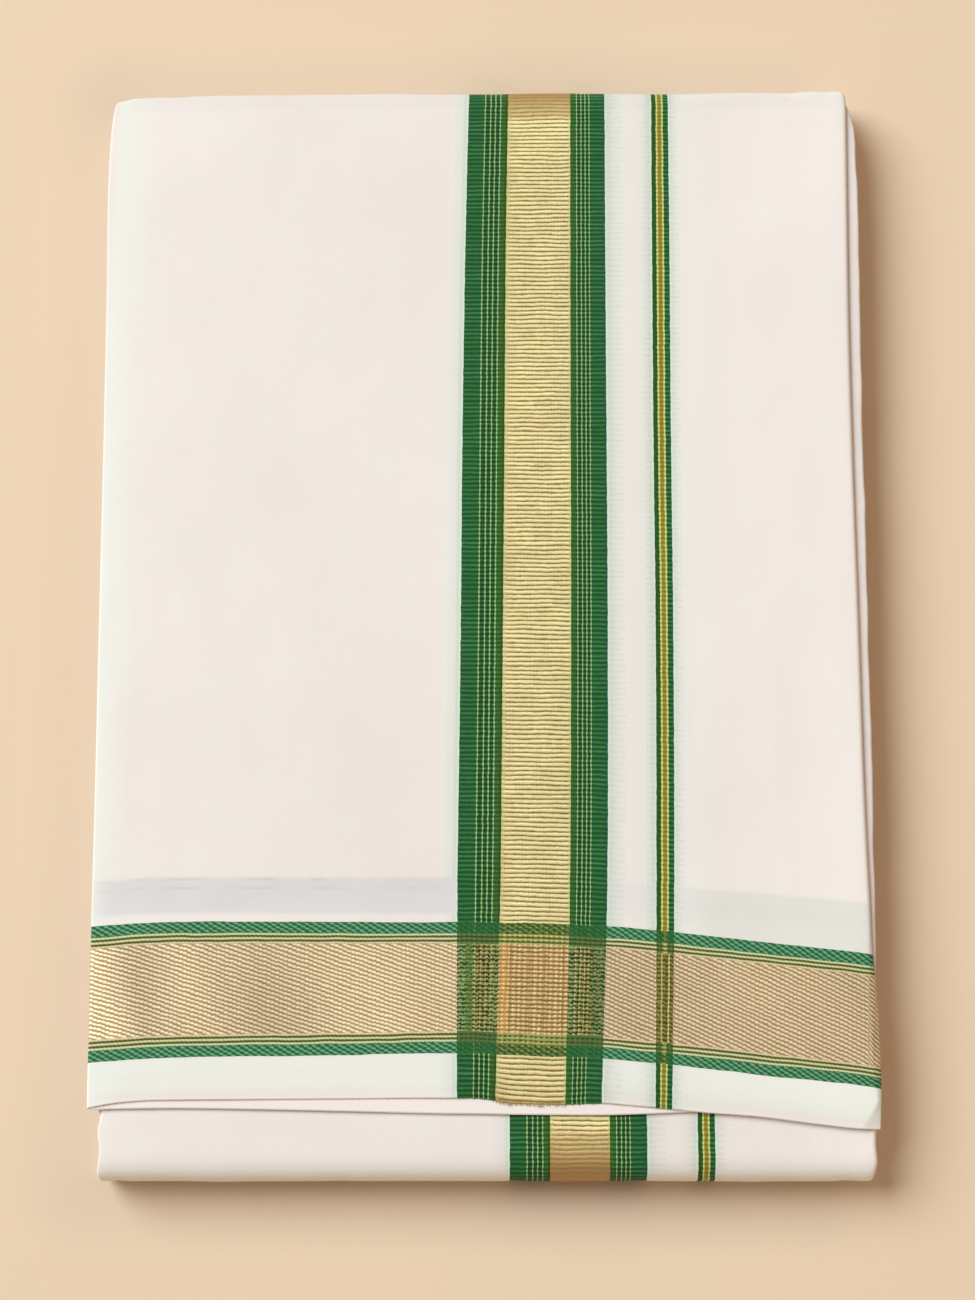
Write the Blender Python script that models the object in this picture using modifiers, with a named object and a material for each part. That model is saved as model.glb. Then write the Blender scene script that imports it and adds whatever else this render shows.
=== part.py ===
"""Dhoti cloth, folded flat: one woven length rolled into a flat pack of eight stretches.

The pack lies on its underside at z = 0, long side along y, the far end (top fold) at +y.
The outermost stretch comes along the underside, round the top fold and over the front,
and ends a little short of the near end, so that the stretch below it shows there.
Units are metres.
"""

import math
from collections import namedtuple

import bmesh
import bpy
import numpy as np

# ---- driving sizes ---------------------------------------------------------------------
PACK_LENGTH = 0.446
PACK_THICKNESS = 0.0245
STRETCHES = 8                   # stretches of cloth between the underside and the front
STRIP_WALL = 0.0024             # the outer stretch: two outer plies taken together
PLY_WALL = 0.0010               # one ply, where the two are parted
SEAM_GAP = 0.0003
TUCK_END_Y = -0.166             # where the lower stretch ends, hidden under the front leaf
SECOND_PLY_SETBACK = 0.008      # hidden selvedge of the second ply, in from the right fold
FOLD_GROOVE = 0.0014            # depth of the groove between two folded edges
END_LINE_REACH = 0.050          # the drawing in of the ends fades out over this length
FOLD_SQUARENESS = 2.8           # exponent of the ends' profile seen from the side: 2 is round
UNDER_BLEND_Y = -0.100          # from here on the underside narrows to the lower outline
UNDER_BLEND = 0.080

HALF_LENGTH = PACK_LENGTH / 2
TOP_RADIUS = PACK_THICKNESS / 2
BODY_THICKNESS = PACK_THICKNESS - STRIP_WALL - SEAM_GAP
NEAR_RADIUS = BODY_THICKNESS / 2
TOP_CENTRE_Y = HALF_LENGTH - TOP_RADIUS
NEAR_CENTRE_Y = NEAR_RADIUS - HALF_LENGTH
CORE_SHELL = STRIP_WALL + SEAM_GAP
CORE_TURNS = (STRETCHES - 2) // 2

# ---- outline seen from above -----------------------------------------------------------
# The leaf columns are the outer stretch, the stack columns are the layers under it.
Outline = namedtuple("Outline", "y leaf_left leaf_right stack_left stack_right")
OUTLINE = (
    Outline(0.2235, -0.1520, 0.1494, -0.1490, 0.1480),
    Outline(0.2200, -0.1528, 0.1500, -0.1500, 0.1493),
    Outline(0.2160, -0.1533, 0.1502, -0.1506, 0.1506),
    Outline(0.2090, -0.1540, 0.1501, -0.1515, 0.1530),
    Outline(0.1890, -0.1547, 0.1497, -0.1522, 0.1541),
    Outline(0.1320, -0.1540, 0.1487, -0.1525, 0.1541),
    Outline(0.0470, -0.1532, 0.1485, -0.1510, 0.1535),
    Outline(0.0050, -0.1529, 0.1487, -0.1508, 0.1532),
    Outline(-0.0960, -0.1521, 0.1492, -0.1512, 0.1526),
    Outline(-0.1180, -0.1520, 0.1497, -0.1509, 0.1523),
    Outline(-0.1380, -0.1518, 0.1501, -0.1506, 0.1518),
    Outline(-0.1480, -0.1517, 0.1509, -0.1504, 0.1513),
    Outline(-0.1720, -0.1515, 0.1518, -0.1500, 0.1502),
    Outline(-0.1890, -0.1515, 0.1518, -0.1496, 0.1496),
    Outline(-0.2000, -0.1513, 0.1514, -0.1475, 0.1490),
    Outline(-0.2100, -0.1511, 0.1511, -0.1462, 0.1486),
    Outline(-0.2235, -0.1511, 0.1511, -0.1460, 0.1475),
)

# ---- outline of the stretch that shows below the leaf, and goes on under the pack ------
Lower = namedtuple("Lower", "y left right")
LOWER_OUTLINE = (
    Lower(-0.1600, -0.1470, 0.1500),
    Lower(-0.2000, -0.1464, 0.1498),
    Lower(-0.2040, -0.1474, 0.1498),
    Lower(-0.2080, -0.1469, 0.1495),
    Lower(-0.2120, -0.1464, 0.1497),
    Lower(-0.2170, -0.1469, 0.1499),
    Lower(-0.2200, -0.1473, 0.1493),
    Lower(-0.2235, -0.1467, 0.1488),
)

# ---- how far the two rounded ends are drawn in across the pack -------------------------
EndLine = namedtuple("EndLine", "x top near")
END_LINES = (
    EndLine(-0.1550, 0.0050, 0.0010),
    EndLine(-0.1500, 0.0046, 0.0003),
    EndLine(-0.1460, 0.0034, 0.0001),
    EndLine(-0.1400, 0.0030, 0.0000),
    EndLine(-0.1280, 0.0031, 0.0001),
    EndLine(-0.1150, 0.0026, 0.0001),
    EndLine(-0.0900, 0.0022, 0.0000),
    EndLine(-0.0500, 0.0019, 0.0001),
    EndLine(0.0000, 0.0019, 0.0001),
    EndLine(0.0300, 0.0014, 0.0000),
    EndLine(0.0600, 0.0018, 0.0001),
    EndLine(0.0900, 0.0018, 0.0000),
    EndLine(0.1070, 0.0011, 0.0001),
    EndLine(0.1250, 0.0009, 0.0000),
    EndLine(0.1380, 0.0000, 0.0000),
    EndLine(0.1480, 0.0000, 0.0002),
    EndLine(0.1550, 0.0006, 0.0008),
)

# ---- free end of the front leaf, from left to right ------------------------------------
FreeEnd = namedtuple("FreeEnd", "x ply_y second_ply_y")
FREE_END = (
    FreeEnd(-0.1530, -0.1963, -0.1958),
    FreeEnd(-0.1500, -0.1956, -0.1967),
    FreeEnd(-0.1450, -0.1946, -0.1963),
    FreeEnd(-0.1325, -0.1932, -0.1960),
    FreeEnd(-0.1170, -0.1928, -0.1959),
    FreeEnd(-0.0930, -0.1926, -0.1962),
    FreeEnd(-0.0500, -0.1923, -0.1971),
    FreeEnd(-0.0170, -0.1921, -0.1979),
    FreeEnd(0.0030, -0.1927, -0.1981),
    FreeEnd(0.0070, -0.1936, -0.1982),
    FreeEnd(0.0180, -0.1942, -0.1983),
    FreeEnd(0.0290, -0.1944, -0.1984),
    FreeEnd(0.0440, -0.1940, -0.1985),
    FreeEnd(0.0590, -0.1951, -0.1981),
    FreeEnd(0.0830, -0.1974, -0.1971),
    FreeEnd(0.1050, -0.1991, -0.1960),
    FreeEnd(0.1260, -0.2017, -0.1950),
    FreeEnd(0.1450, -0.2037, -0.1945),
    FreeEnd(0.1515, -0.2040, -0.1945),
)

# ---- right fold of the front leaf: it opens out towards the free end -------------------
Shoulder = namedtuple("Shoulder", "y width facet")
SHOULDER = (
    Shoulder(0.2110, 0.0015, 0.0),
    Shoulder(-0.1300, 0.0015, 0.0),
    Shoulder(-0.1420, 0.0020, 0.6),
    Shoulder(-0.1560, 0.0030, 0.8),
    Shoulder(-0.1880, 0.0032, 0.8),
    Shoulder(-0.1960, 0.0024, 0.6),
    Shoulder(-0.1990, 0.0030, 0.8),
    Shoulder(-0.2035, 0.0064, 1.0),
    Shoulder(-0.2080, 0.0072, 1.0),
)

# ---- how far each turn of hidden layers sits in from the stack's outline ---------------
CoreTurn = namedtuple("CoreTurn", "left right")
CORE_TURN_INSET = (
    CoreTurn(0.0004, 0.0022),
    CoreTurn(0.0012, 0.0000),
    CoreTurn(0.0000, 0.0010),
)

# across one turn of folded edge: share of its depth, share of the groove
EdgeRing = namedtuple("EdgeRing", "depth groove")
EDGE_RINGS = (
    EdgeRing(0.00, 1.00),
    EdgeRing(0.14, 0.30),
    EdgeRing(0.50, 0.00),
    EdgeRing(0.86, 0.30),
)

# ---- where the pack is pressed thinner: place, reach each way, depth -------------------
Press = namedtuple("Press", "x y reach_x reach_y depth")
PRESSED = (
    Press(-0.152, 0.020, 0.022, 0.190, 0.0009),
    Press(0.152, 0.060, 0.026, 0.160, 0.0011),
    Press(0.146, -0.205, 0.030, 0.040, 0.0009),
    Press(-0.150, 0.215, 0.040, 0.030, 0.0010),
    Press(0.150, 0.215, 0.040, 0.030, 0.0012),
    Press(-0.020, 0.080, 0.090, 0.100, 0.0005),
    Press(0.020, -0.120, 0.110, 0.050, 0.0004),
)

COLLECTION = "folded_dhoti"


def column(table, key, field, at):
    """Read one named column of a table at any value of its key column."""
    rows = sorted(table, key=lambda row: getattr(row, key))
    keys = [getattr(row, key) for row in rows]
    values = [getattr(row, field) for row in rows]
    return float(np.interp(at, keys, values))


def outline(field, y):
    return column(OUTLINE, "y", field, y)


def settle(point):
    """Press a point of the pack down and draw its ends in, leaving the underside flat."""
    x, y, z = point
    depth = 0.0
    for spot in PRESSED:
        away = ((x - spot.x) / spot.reach_x) ** 2 + ((y - spot.y) / spot.reach_y) ** 2
        depth += spot.depth * math.exp(-away)
    share = max(0.0, (abs(y) - (HALF_LENGTH - END_LINE_REACH)) / END_LINE_REACH) ** 2
    drawn = -column(END_LINES, "x", "top", x) if y > 0 else column(END_LINES, "x", "near", x)
    return (x, y + drawn * share, z * (1 - depth / PACK_THICKNESS))


def fold_profile(angle):
    """A rounded end of unit size from the side: its point at an angle, and the way out there."""
    share = 2 / FOLD_SQUARENESS
    cosine = math.cos(angle)
    sine = math.sin(angle)
    point = (math.copysign(abs(cosine) ** share, cosine), math.copysign(abs(sine) ** share, sine))
    out = (
        math.copysign(abs(cosine) ** (2 - share), cosine),
        math.copysign(abs(sine) ** (2 - share), sine),
    )
    length = math.hypot(*out)
    return point, (out[0] / length, out[1] / length)


def remove_scene_objects():
    for obj in list(bpy.data.objects):
        bpy.data.objects.remove(obj, do_unlink=True)


def make_material(name, colour, roughness):
    material = bpy.data.materials.new(name)
    material.use_nodes = True
    shader = material.node_tree.nodes["Principled BSDF"]
    shader.inputs["Base Color"].default_value = (*colour, 1.0)
    shader.inputs["Roughness"].default_value = roughness
    material.diffuse_color = (*colour, 1.0)
    return material


def add_object(name, points, faces, collection, material):
    mesh = bpy.data.meshes.new(name)
    mesh.from_pydata([settle(point) for point in points], [], faces)
    mesh.update()
    mesh.shade_smooth()
    mesh.materials.append(material)
    obj = bpy.data.objects.new(name, mesh)
    collection.objects.link(obj)
    return obj


def face_outwards(obj):
    mesh = bmesh.new()
    mesh.from_mesh(obj.data)
    bmesh.ops.recalc_face_normals(mesh, faces=mesh.faces)
    mesh.to_mesh(obj.data)
    mesh.free()


def rungs(base, count, end_points):
    """Close one ring with rungs across it; its last end_points points go round one end."""
    start = count - (end_points + 1) // 2
    ring = [base + (start + step) % count for step in range(count)]
    half = count // 2
    faces = [(ring[0], ring[1], ring[-1])]
    for step in range(1, half - 1):
        faces.append((ring[step], ring[step + 1], ring[-step - 1], ring[-step]))
    faces.append((ring[half - 1], ring[half], ring[half + 1]))
    return faces


def skin(rings, end_points):
    """Join rings of equal length into a tube with both ends closed."""
    count = len(rings[0])
    points = [point for ring in rings for point in ring]
    faces = []
    for index in range(len(rings) - 1):
        near = index * count
        far = near + count
        for step in range(count):
            after = (step + 1) % count
            faces.append((near + step, near + after, far + after, far + step))
    faces += rungs(0, count, end_points)
    faces += rungs((len(rings) - 1) * count, count, end_points)
    return points, faces


# ---- the outer stretch where it is one strip: a wall with rounded folded sides ---------
STATIONS = tuple(row.x for row in END_LINES if abs(row.x) < 0.145)
FOLD_STEPS = 3


def columns_across(first, last):
    """x of the lengthwise lines of points, the same in every stretch between its two ends."""
    return [first, *STATIONS, last]


def strip_section(left, right, place, inward, wall):
    """Section across a strip: place and inward are (y, z) on its outer face."""
    radius = wall / 2
    xs = columns_across(left + radius, right - radius)
    profile = [(x, 0.0) for x in xs]
    for step in range(1, FOLD_STEPS + 1):
        turn = math.pi * step / (FOLD_STEPS + 1)
        profile.append((right - radius + radius * math.sin(turn), radius - radius * math.cos(turn)))
    profile += [(x, wall) for x in reversed(xs)]
    for step in range(1, FOLD_STEPS + 1):
        turn = math.pi * step / (FOLD_STEPS + 1)
        profile.append((left + radius - radius * math.sin(turn), radius + radius * math.cos(turn)))
    return [(x, place[0] + depth * inward[0], place[1] + depth * inward[1]) for x, depth in profile]


def strip_sides(y, lower):
    """x of both sides of a strip: lower is 0 on the leaf's outline, 1 on the lower one."""
    left = outline("leaf_left", y)
    right = outline("leaf_right", y)
    left += lower * (column(LOWER_OUTLINE, "y", "left", y) - left)
    right += lower * (column(LOWER_OUTLINE, "y", "right", y) - right)
    return left, right


def under_share(y):
    return min(1.0, max(0.0, (UNDER_BLEND_Y - y) / UNDER_BLEND))


def build_strip(name, path, lower, collection, material):
    """path is a list of ((y, z) on the outer face, (y, z) inward direction)."""
    rings = []
    for place, inward in path:
        left, right = strip_sides(place[0], lower(place[0]))
        rings.append(strip_section(left, right, place, inward, STRIP_WALL))
    points, faces = skin(rings, FOLD_STEPS)
    strip = add_object(name, points, faces, collection, material)
    face_outwards(strip)
    return strip


def arc_path(centre_y, radius, start_degrees, end_degrees, steps):
    path = []
    for angle in np.radians(np.linspace(start_degrees, end_degrees, steps + 1)):
        point, out = fold_profile(angle)
        place = (centre_y + radius * point[0], radius + radius * point[1])
        path.append((place, (-out[0], -out[1])))
    return path


def flat_path(start_y, end_y, z, inward_z, steps):
    return [((y, z), (0.0, inward_z)) for y in np.linspace(start_y, end_y, steps + 1)]


def build_top_fold(collection, material):
    path = arc_path(TOP_CENTRE_Y, TOP_RADIUS, 90, -90, 12)
    return build_strip("top_fold", path, lambda y: 0.0, collection, material)


def build_under_stretch(collection, material):
    path = flat_path(TOP_CENTRE_Y - SEAM_GAP, NEAR_CENTRE_Y + SEAM_GAP, 0.0, 1.0, 12)
    return build_strip("under_stretch", path, under_share, collection, material)


def build_lower_fold(collection, material):
    path = arc_path(NEAR_CENTRE_Y, NEAR_RADIUS, 270, 90, 12)
    path += flat_path(NEAR_CENTRE_Y, TUCK_END_Y - SEAM_GAP, BODY_THICKNESS, -1.0, 4)[1:]
    return build_strip("lower_fold", path, lambda y: 1.0, collection, material)


# ---- the front leaf: two plies joined by the left fold ---------------------------------
LEAF_FOLD_STEPS = 6
LEAF_ROWS = 24
LEAF_ROW_CROWDING = 1.6         # rows lie closer together towards the free end
LIP_DROP = 0.0019


def leaf_section(left_y, right_y):
    """Outer face of the leaf at one station: right lip, front, left fold, second ply.

    Each entry is (x, z, share), where share runs from 0 on the upper ply to 1 on the second.
    """
    left = outline("leaf_left", left_y)
    right = outline("leaf_right", right_y)
    width = column(SHOULDER, "y", "width", right_y)
    facet = column(SHOULDER, "y", "facet", right_y)
    radius = STRIP_WALL / 2
    top = PACK_THICKNESS
    section = [(right, top - STRIP_WALL + SEAM_GAP, 0.0)]
    for step in range(LEAF_FOLD_STEPS // 2 + 1):
        turn = 0.5 * math.pi * step / (LEAF_FOLD_STEPS // 2)
        round_drop = 1 - math.sin(turn)
        drop = round_drop + facet * (math.cos(turn) - round_drop)
        section.append((right - width + width * math.cos(turn), top - LIP_DROP * drop, 0.0))
    for x in reversed(columns_across(left + radius, right - width)[:-1]):
        section.append((x, top, 0.0))
    for step in range(1, LEAF_FOLD_STEPS):
        turn = math.pi * step / LEAF_FOLD_STEPS
        share = 0.5 - 0.5 * math.cos(turn)
        x = left + radius - radius * math.sin(turn)
        section.append((x, top - radius + radius * math.cos(turn), share))
    for x in columns_across(left + radius, right - SECOND_PLY_SETBACK):
        section.append((x, top - STRIP_WALL, 1.0))
    return section


def free_end_y(x, share):
    upper = column(FREE_END, "x", "ply_y", x)
    second = column(FREE_END, "x", "second_ply_y", x)
    return upper + share * (second - upper)


def build_front_leaf(collection, material):
    start_y = TOP_CENTRE_Y - SEAM_GAP
    points = []
    for row in range(LEAF_ROWS):
        along = 1 - (1 - row / (LEAF_ROWS - 1)) ** LEAF_ROW_CROWDING
        left_y = start_y + along * (FREE_END[0].ply_y - start_y)
        right_y = start_y + along * (FREE_END[-1].ply_y - start_y)
        for x, z, share in leaf_section(left_y, right_y):
            y = start_y + along * (free_end_y(x, share) - start_y)
            points.append((x, y, z))
    count = len(points) // LEAF_ROWS
    faces = []
    for row in range(LEAF_ROWS - 1):
        for step in range(count - 1):
            corner = row * count + step
            faces.append((corner, corner + 1, corner + count + 1, corner + count))
    leaf = add_object("front_leaf", points, faces, collection, material)
    wall = leaf.modifiers.new("wall", "SOLIDIFY")
    wall.thickness = PLY_WALL
    wall.offset = -1.0
    return leaf


# ---- hidden layers ---------------------------------------------------------------------
CORE_FLAT_STEPS = 12
CORE_ARC_STEPS = 8
STEP_LENGTH = 0.004             # the core rises from under the lower stretch over this length
INNERMOST = 0.04                # share of the half thickness left at the middle slit
TOP_SLACK = 0.0006              # room between the hidden layers and the top fold's inside


def core_spine_and_skin():
    """Matched (y, z) points round the core: on its middle line and on its outer face."""
    top_radius = TOP_RADIUS - CORE_SHELL
    near_radius = NEAR_RADIUS - CORE_SHELL
    low = CORE_SHELL
    high = BODY_THICKNESS
    pairs = []
    front_ys = [NEAR_CENTRE_Y, TUCK_END_Y, TUCK_END_Y + STEP_LENGTH]
    front_ys += list(np.linspace(TUCK_END_Y + STEP_LENGTH, TOP_CENTRE_Y, CORE_FLAT_STEPS - 2))[1:]
    core_top_radius = min(top_radius, (high - low) / 2)
    core_top_z = high - core_top_radius
    for y in front_ys:
        z = high if y > TUCK_END_Y else 2 * NEAR_RADIUS - CORE_SHELL
        pairs.append(((y, (z + low) / 2), (y, z)))
    for step in range(1, CORE_ARC_STEPS):
        turn = math.pi * step / CORE_ARC_STEPS
        point, _ = fold_profile(math.pi / 2 - turn)
        place = (TOP_CENTRE_Y + (core_top_radius - TOP_SLACK) * point[0],
                 core_top_z + core_top_radius * point[1])
        pairs.append(((TOP_CENTRE_Y, core_top_z), place))
    for y, (spine, _) in zip(reversed(front_ys), reversed(pairs[:len(front_ys)])):
        pairs.append((spine, (y, low)))
    for step in range(1, CORE_ARC_STEPS):
        turn = math.pi * step / CORE_ARC_STEPS
        point, _ = fold_profile(-math.pi / 2 - turn)
        place = (NEAR_CENTRE_Y + near_radius * point[0], NEAR_RADIUS + near_radius * point[1])
        pairs.append(((NEAR_CENTRE_Y, NEAR_RADIUS), place))
    return pairs


def core_ring(pairs, side, share, inset):
    """One closed ring at a share of the half thickness, set in from the stack's outline."""
    ring = []
    for spine, outer in pairs:
        y = spine[0] + share * (outer[0] - spine[0])
        z = spine[1] + share * (outer[1] - spine[1])
        edge = outline("stack_" + side, y)
        x = edge + inset if side == "left" else edge - inset
        ring.append((x, y, z))
    return ring


def side_rings(pairs, side):
    """Rings from the outer face inwards, one bump for each turn of the roll."""
    rings = []
    for turn, insets in enumerate(CORE_TURN_INSET):
        for edge in EDGE_RINGS:
            share = 1 - (turn + edge.depth) / CORE_TURNS
            inset = getattr(insets, side) + edge.groove * FOLD_GROOVE
            rings.append(core_ring(pairs, side, share, inset))
    rings.append(core_ring(pairs, side, INNERMOST, getattr(CORE_TURN_INSET[-1], side) + FOLD_GROOVE))
    return rings


def build_folded_core(collection, material):
    pairs = core_spine_and_skin()
    left = list(reversed(side_rings(pairs, "left")))
    right = side_rings(pairs, "right")
    middle = [[(x, *outer) for _, outer in pairs] for x in STATIONS]
    points, faces = skin(left + middle + right, CORE_ARC_STEPS - 1)
    core = add_object("folded_core", points, faces, collection, material)
    face_outwards(core)
    return core


def build():
    remove_scene_objects()
    collection = bpy.data.collections.new(COLLECTION)
    bpy.context.scene.collection.children.link(collection)
    cotton = make_material("white_cotton", (0.86, 0.84, 0.80), 0.85)
    bordered = make_material("bordered_cotton", (0.84, 0.83, 0.78), 0.80)
    hidden = make_material("folded_layers", (0.80, 0.77, 0.71), 0.90)
    build_front_leaf(collection, bordered)
    build_top_fold(collection, bordered)
    build_under_stretch(collection, cotton)
    build_lower_fold(collection, bordered)
    build_folded_core(collection, hidden)


build()
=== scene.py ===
"""Looks of a folded dhoti cloth: its woven sheet, folded edges and loose end threads."""

import math
from collections import namedtuple

import bmesh
import bpy
import numpy as np
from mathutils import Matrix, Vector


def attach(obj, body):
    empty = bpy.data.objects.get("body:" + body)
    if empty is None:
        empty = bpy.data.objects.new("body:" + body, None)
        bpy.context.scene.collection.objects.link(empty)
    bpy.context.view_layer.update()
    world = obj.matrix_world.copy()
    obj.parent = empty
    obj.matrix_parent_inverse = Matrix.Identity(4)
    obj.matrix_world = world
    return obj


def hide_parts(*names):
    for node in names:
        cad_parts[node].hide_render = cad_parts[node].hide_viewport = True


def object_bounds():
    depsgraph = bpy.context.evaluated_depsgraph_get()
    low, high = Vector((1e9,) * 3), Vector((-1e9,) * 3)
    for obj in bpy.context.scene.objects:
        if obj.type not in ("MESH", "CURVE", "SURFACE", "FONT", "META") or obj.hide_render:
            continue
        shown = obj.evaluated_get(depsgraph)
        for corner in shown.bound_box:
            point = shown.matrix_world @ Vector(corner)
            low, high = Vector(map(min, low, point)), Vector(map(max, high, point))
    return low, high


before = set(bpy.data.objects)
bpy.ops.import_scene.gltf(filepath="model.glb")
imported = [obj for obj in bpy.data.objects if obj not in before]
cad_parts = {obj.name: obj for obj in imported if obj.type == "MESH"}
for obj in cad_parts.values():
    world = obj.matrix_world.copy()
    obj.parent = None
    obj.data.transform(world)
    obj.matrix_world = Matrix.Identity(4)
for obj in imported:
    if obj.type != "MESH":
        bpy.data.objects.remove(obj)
cad_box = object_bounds()

MM = 0.001


def table(columns, rows):
    """A table whose rows have named columns."""
    kind = namedtuple("TableRow", columns)
    return tuple(kind(*row) for row in rows)


# ---- sizes of the pack, from its solids ------------------------------------------------
PACK_BOX = [list(corner) for corner in cad_box]
HALF_LENGTH = PACK_BOX[1][1]
THICKNESS = PACK_BOX[1][2]
OUTER_PITCH = 2.7 * MM          # the outermost stretch: four plies and the air between
STRETCHES = 8                   # counted from the free end: the even ones lie over the odd ones
TOP_RADIUS = THICKNESS / 2
TOP_CENTRE_Y = HALF_LENGTH - TOP_RADIUS
BODY_THICKNESS = THICKNESS - OUTER_PITCH
NEAR_RADIUS = BODY_THICKNESS / 2
NEAR_CENTRE_Y = NEAR_RADIUS - HALF_LENGTH
INNER_PITCH = (BODY_THICKNESS - OUTER_PITCH) / (STRETCHES - 2)
PLY = 0.5 * MM
PAIR = 1.25 * MM                # two plies joined by a fold, outside to outside
STRIP = 2.6 * MM                # all four plies, outside to outside

# ---- outline from above ----------------------------------------------------------------
OUTLINE = table("y leaf_left leaf_right stack_left stack_right", (
    (0.2235, -0.1520, 0.1494, -0.1490, 0.1480),
    (0.2200, -0.1528, 0.1500, -0.1500, 0.1493),
    (0.2160, -0.1533, 0.1502, -0.1506, 0.1506),
    (0.2090, -0.1540, 0.1501, -0.1515, 0.1530),
    (0.1890, -0.1547, 0.1497, -0.1522, 0.1541),
    (0.1320, -0.1540, 0.1487, -0.1525, 0.1541),
    (0.0470, -0.1532, 0.1485, -0.1510, 0.1535),
    (0.0050, -0.1529, 0.1487, -0.1508, 0.1532),
    (-0.0960, -0.1521, 0.1492, -0.1512, 0.1526),
    (-0.1180, -0.1520, 0.1497, -0.1509, 0.1523),
    (-0.1380, -0.1518, 0.1501, -0.1506, 0.1518),
    (-0.1480, -0.1517, 0.1509, -0.1504, 0.1513),
    (-0.1720, -0.1515, 0.1518, -0.1500, 0.1502),
    (-0.1890, -0.1515, 0.1518, -0.1496, 0.1496),
    (-0.2000, -0.1513, 0.1514, -0.1475, 0.1490),
    (-0.2100, -0.1511, 0.1511, -0.1462, 0.1486),
    (-0.2235, -0.1511, 0.1511, -0.1460, 0.1475),
))

# ---- outline of the stretch that shows below the leaf, and goes on under the pack ------
LOWER_OUTLINE = table("y left right", (
    (-0.1600, -0.1470, 0.1500),
    (-0.2000, -0.1464, 0.1498),
    (-0.2040, -0.1474, 0.1498),
    (-0.2080, -0.1469, 0.1495),
    (-0.2120, -0.1464, 0.1497),
    (-0.2170, -0.1469, 0.1499),
    (-0.2200, -0.1473, 0.1493),
    (-0.2235, -0.1467, 0.1488),
))

# ---- how far the two rounded ends are drawn in across the pack -------------------------
END_LINES = table("x top near", (
    (-0.1550, 0.0050, 0.0010),
    (-0.1500, 0.0046, 0.0003),
    (-0.1460, 0.0034, 0.0001),
    (-0.1400, 0.0030, 0.0000),
    (-0.1280, 0.0031, 0.0001),
    (-0.1150, 0.0026, 0.0001),
    (-0.0900, 0.0022, 0.0000),
    (-0.0500, 0.0019, 0.0001),
    (0.0000, 0.0019, 0.0001),
    (0.0300, 0.0014, 0.0000),
    (0.0600, 0.0018, 0.0001),
    (0.0900, 0.0018, 0.0000),
    (0.1070, 0.0011, 0.0001),
    (0.1250, 0.0009, 0.0000),
    (0.1380, 0.0000, 0.0000),
    (0.1480, 0.0000, 0.0002),
    (0.1550, 0.0006, 0.0008),
))
END_LINE_REACH = 0.050          # the drawing in fades out over this length of the pack
FOLD_SQUARENESS = 2.8           # exponent of the ends' profile seen from the side: 2 is round

# ---- free end of the front leaf, left to right -----------------------------------------
FREE_END_Y = -0.1922
FREE_END = table("x ply_y second_ply_y", (
    (-0.1530, -0.1963, -0.1958),
    (-0.1500, -0.1956, -0.1967),
    (-0.1450, -0.1946, -0.1963),
    (-0.1325, -0.1932, -0.1960),
    (-0.1170, -0.1928, -0.1959),
    (-0.0930, -0.1926, -0.1962),
    (-0.0500, -0.1923, -0.1971),
    (-0.0170, -0.1921, -0.1979),
    (0.0030, -0.1927, -0.1981),
    (0.0070, -0.1936, -0.1982),
    (0.0180, -0.1942, -0.1983),
    (0.0290, -0.1944, -0.1984),
    (0.0440, -0.1940, -0.1985),
    (0.0590, -0.1951, -0.1981),
    (0.0830, -0.1974, -0.1971),
    (0.1050, -0.1991, -0.1960),
    (0.1260, -0.2017, -0.1950),
    (0.1450, -0.2037, -0.1945),
    (0.1530, -0.2040, -0.1945),
))

# ---- how far two weft yarns of the end band lie from straight across -------------------
BAND_WEFTS = table("x low high", (
    (-0.1530, -0.0032, -0.0020),
    (-0.1450, -0.0027, -0.0014),
    (-0.1335, -0.0019, -0.0005),
    (-0.1100, -0.0010, 0.0000),
    (-0.0710, -0.0005, 0.0000),
    (-0.0500, -0.0002, -0.0001),
    (-0.0326, 0.0002, -0.0001),
    (-0.0171, 0.0006, -0.0001),
    (0.0200, -0.0005, -0.0006),
    (0.0497, -0.0018, -0.0020),
    (0.0605, -0.0030, -0.0029),
    (0.0838, -0.0051, -0.0053),
    (0.0955, -0.0066, -0.0066),
    (0.1070, -0.0079, -0.0078),
    (0.1187, -0.0090, -0.0091),
    (0.1304, -0.0103, -0.0104),
    (0.1420, -0.0115, -0.0118),
    (0.1530, -0.0134, -0.0131),
))
LOW_WEFT = 0.0187               # lengths along the cloth from its free end
HIGH_WEFT = 0.0652
STRAIGHTENING = table("along kept", ((0.090, 0.74), (0.150, 0.40), (0.300, 0.10), (0.400, 0.0)))

# ---- right fold of the leaf: it opens out towards the free end -------------------------
SHOULDER = table("y width facet", (
    (0.2200, 0.0015, 0.0),
    (-0.1300, 0.0015, 0.0),
    (-0.1420, 0.0020, 0.6),
    (-0.1560, 0.0030, 0.8),
    (-0.1860, 0.0028, 0.7),
    (-0.1925, 0.0012, 0.4),
    (-0.1950, 0.0020, 0.8),
    (-0.2035, 0.0070, 1.0),
    (-0.2080, 0.0078, 1.0),
))

# ---- where the pack is pressed thinner -------------------------------------------------
PRESSED = table("x y reach_x reach_y depth", (
    (-0.152, 0.020, 0.022, 0.190, 0.0009),
    (0.152, 0.060, 0.026, 0.160, 0.0011),
    (0.146, -0.205, 0.030, 0.040, 0.0009),
    (-0.150, 0.215, 0.040, 0.030, 0.0010),
    (0.150, 0.215, 0.040, 0.030, 0.0012),
    (-0.020, 0.080, 0.090, 0.100, 0.0005),
    (0.020, -0.120, 0.110, 0.050, 0.0004),
))

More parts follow.
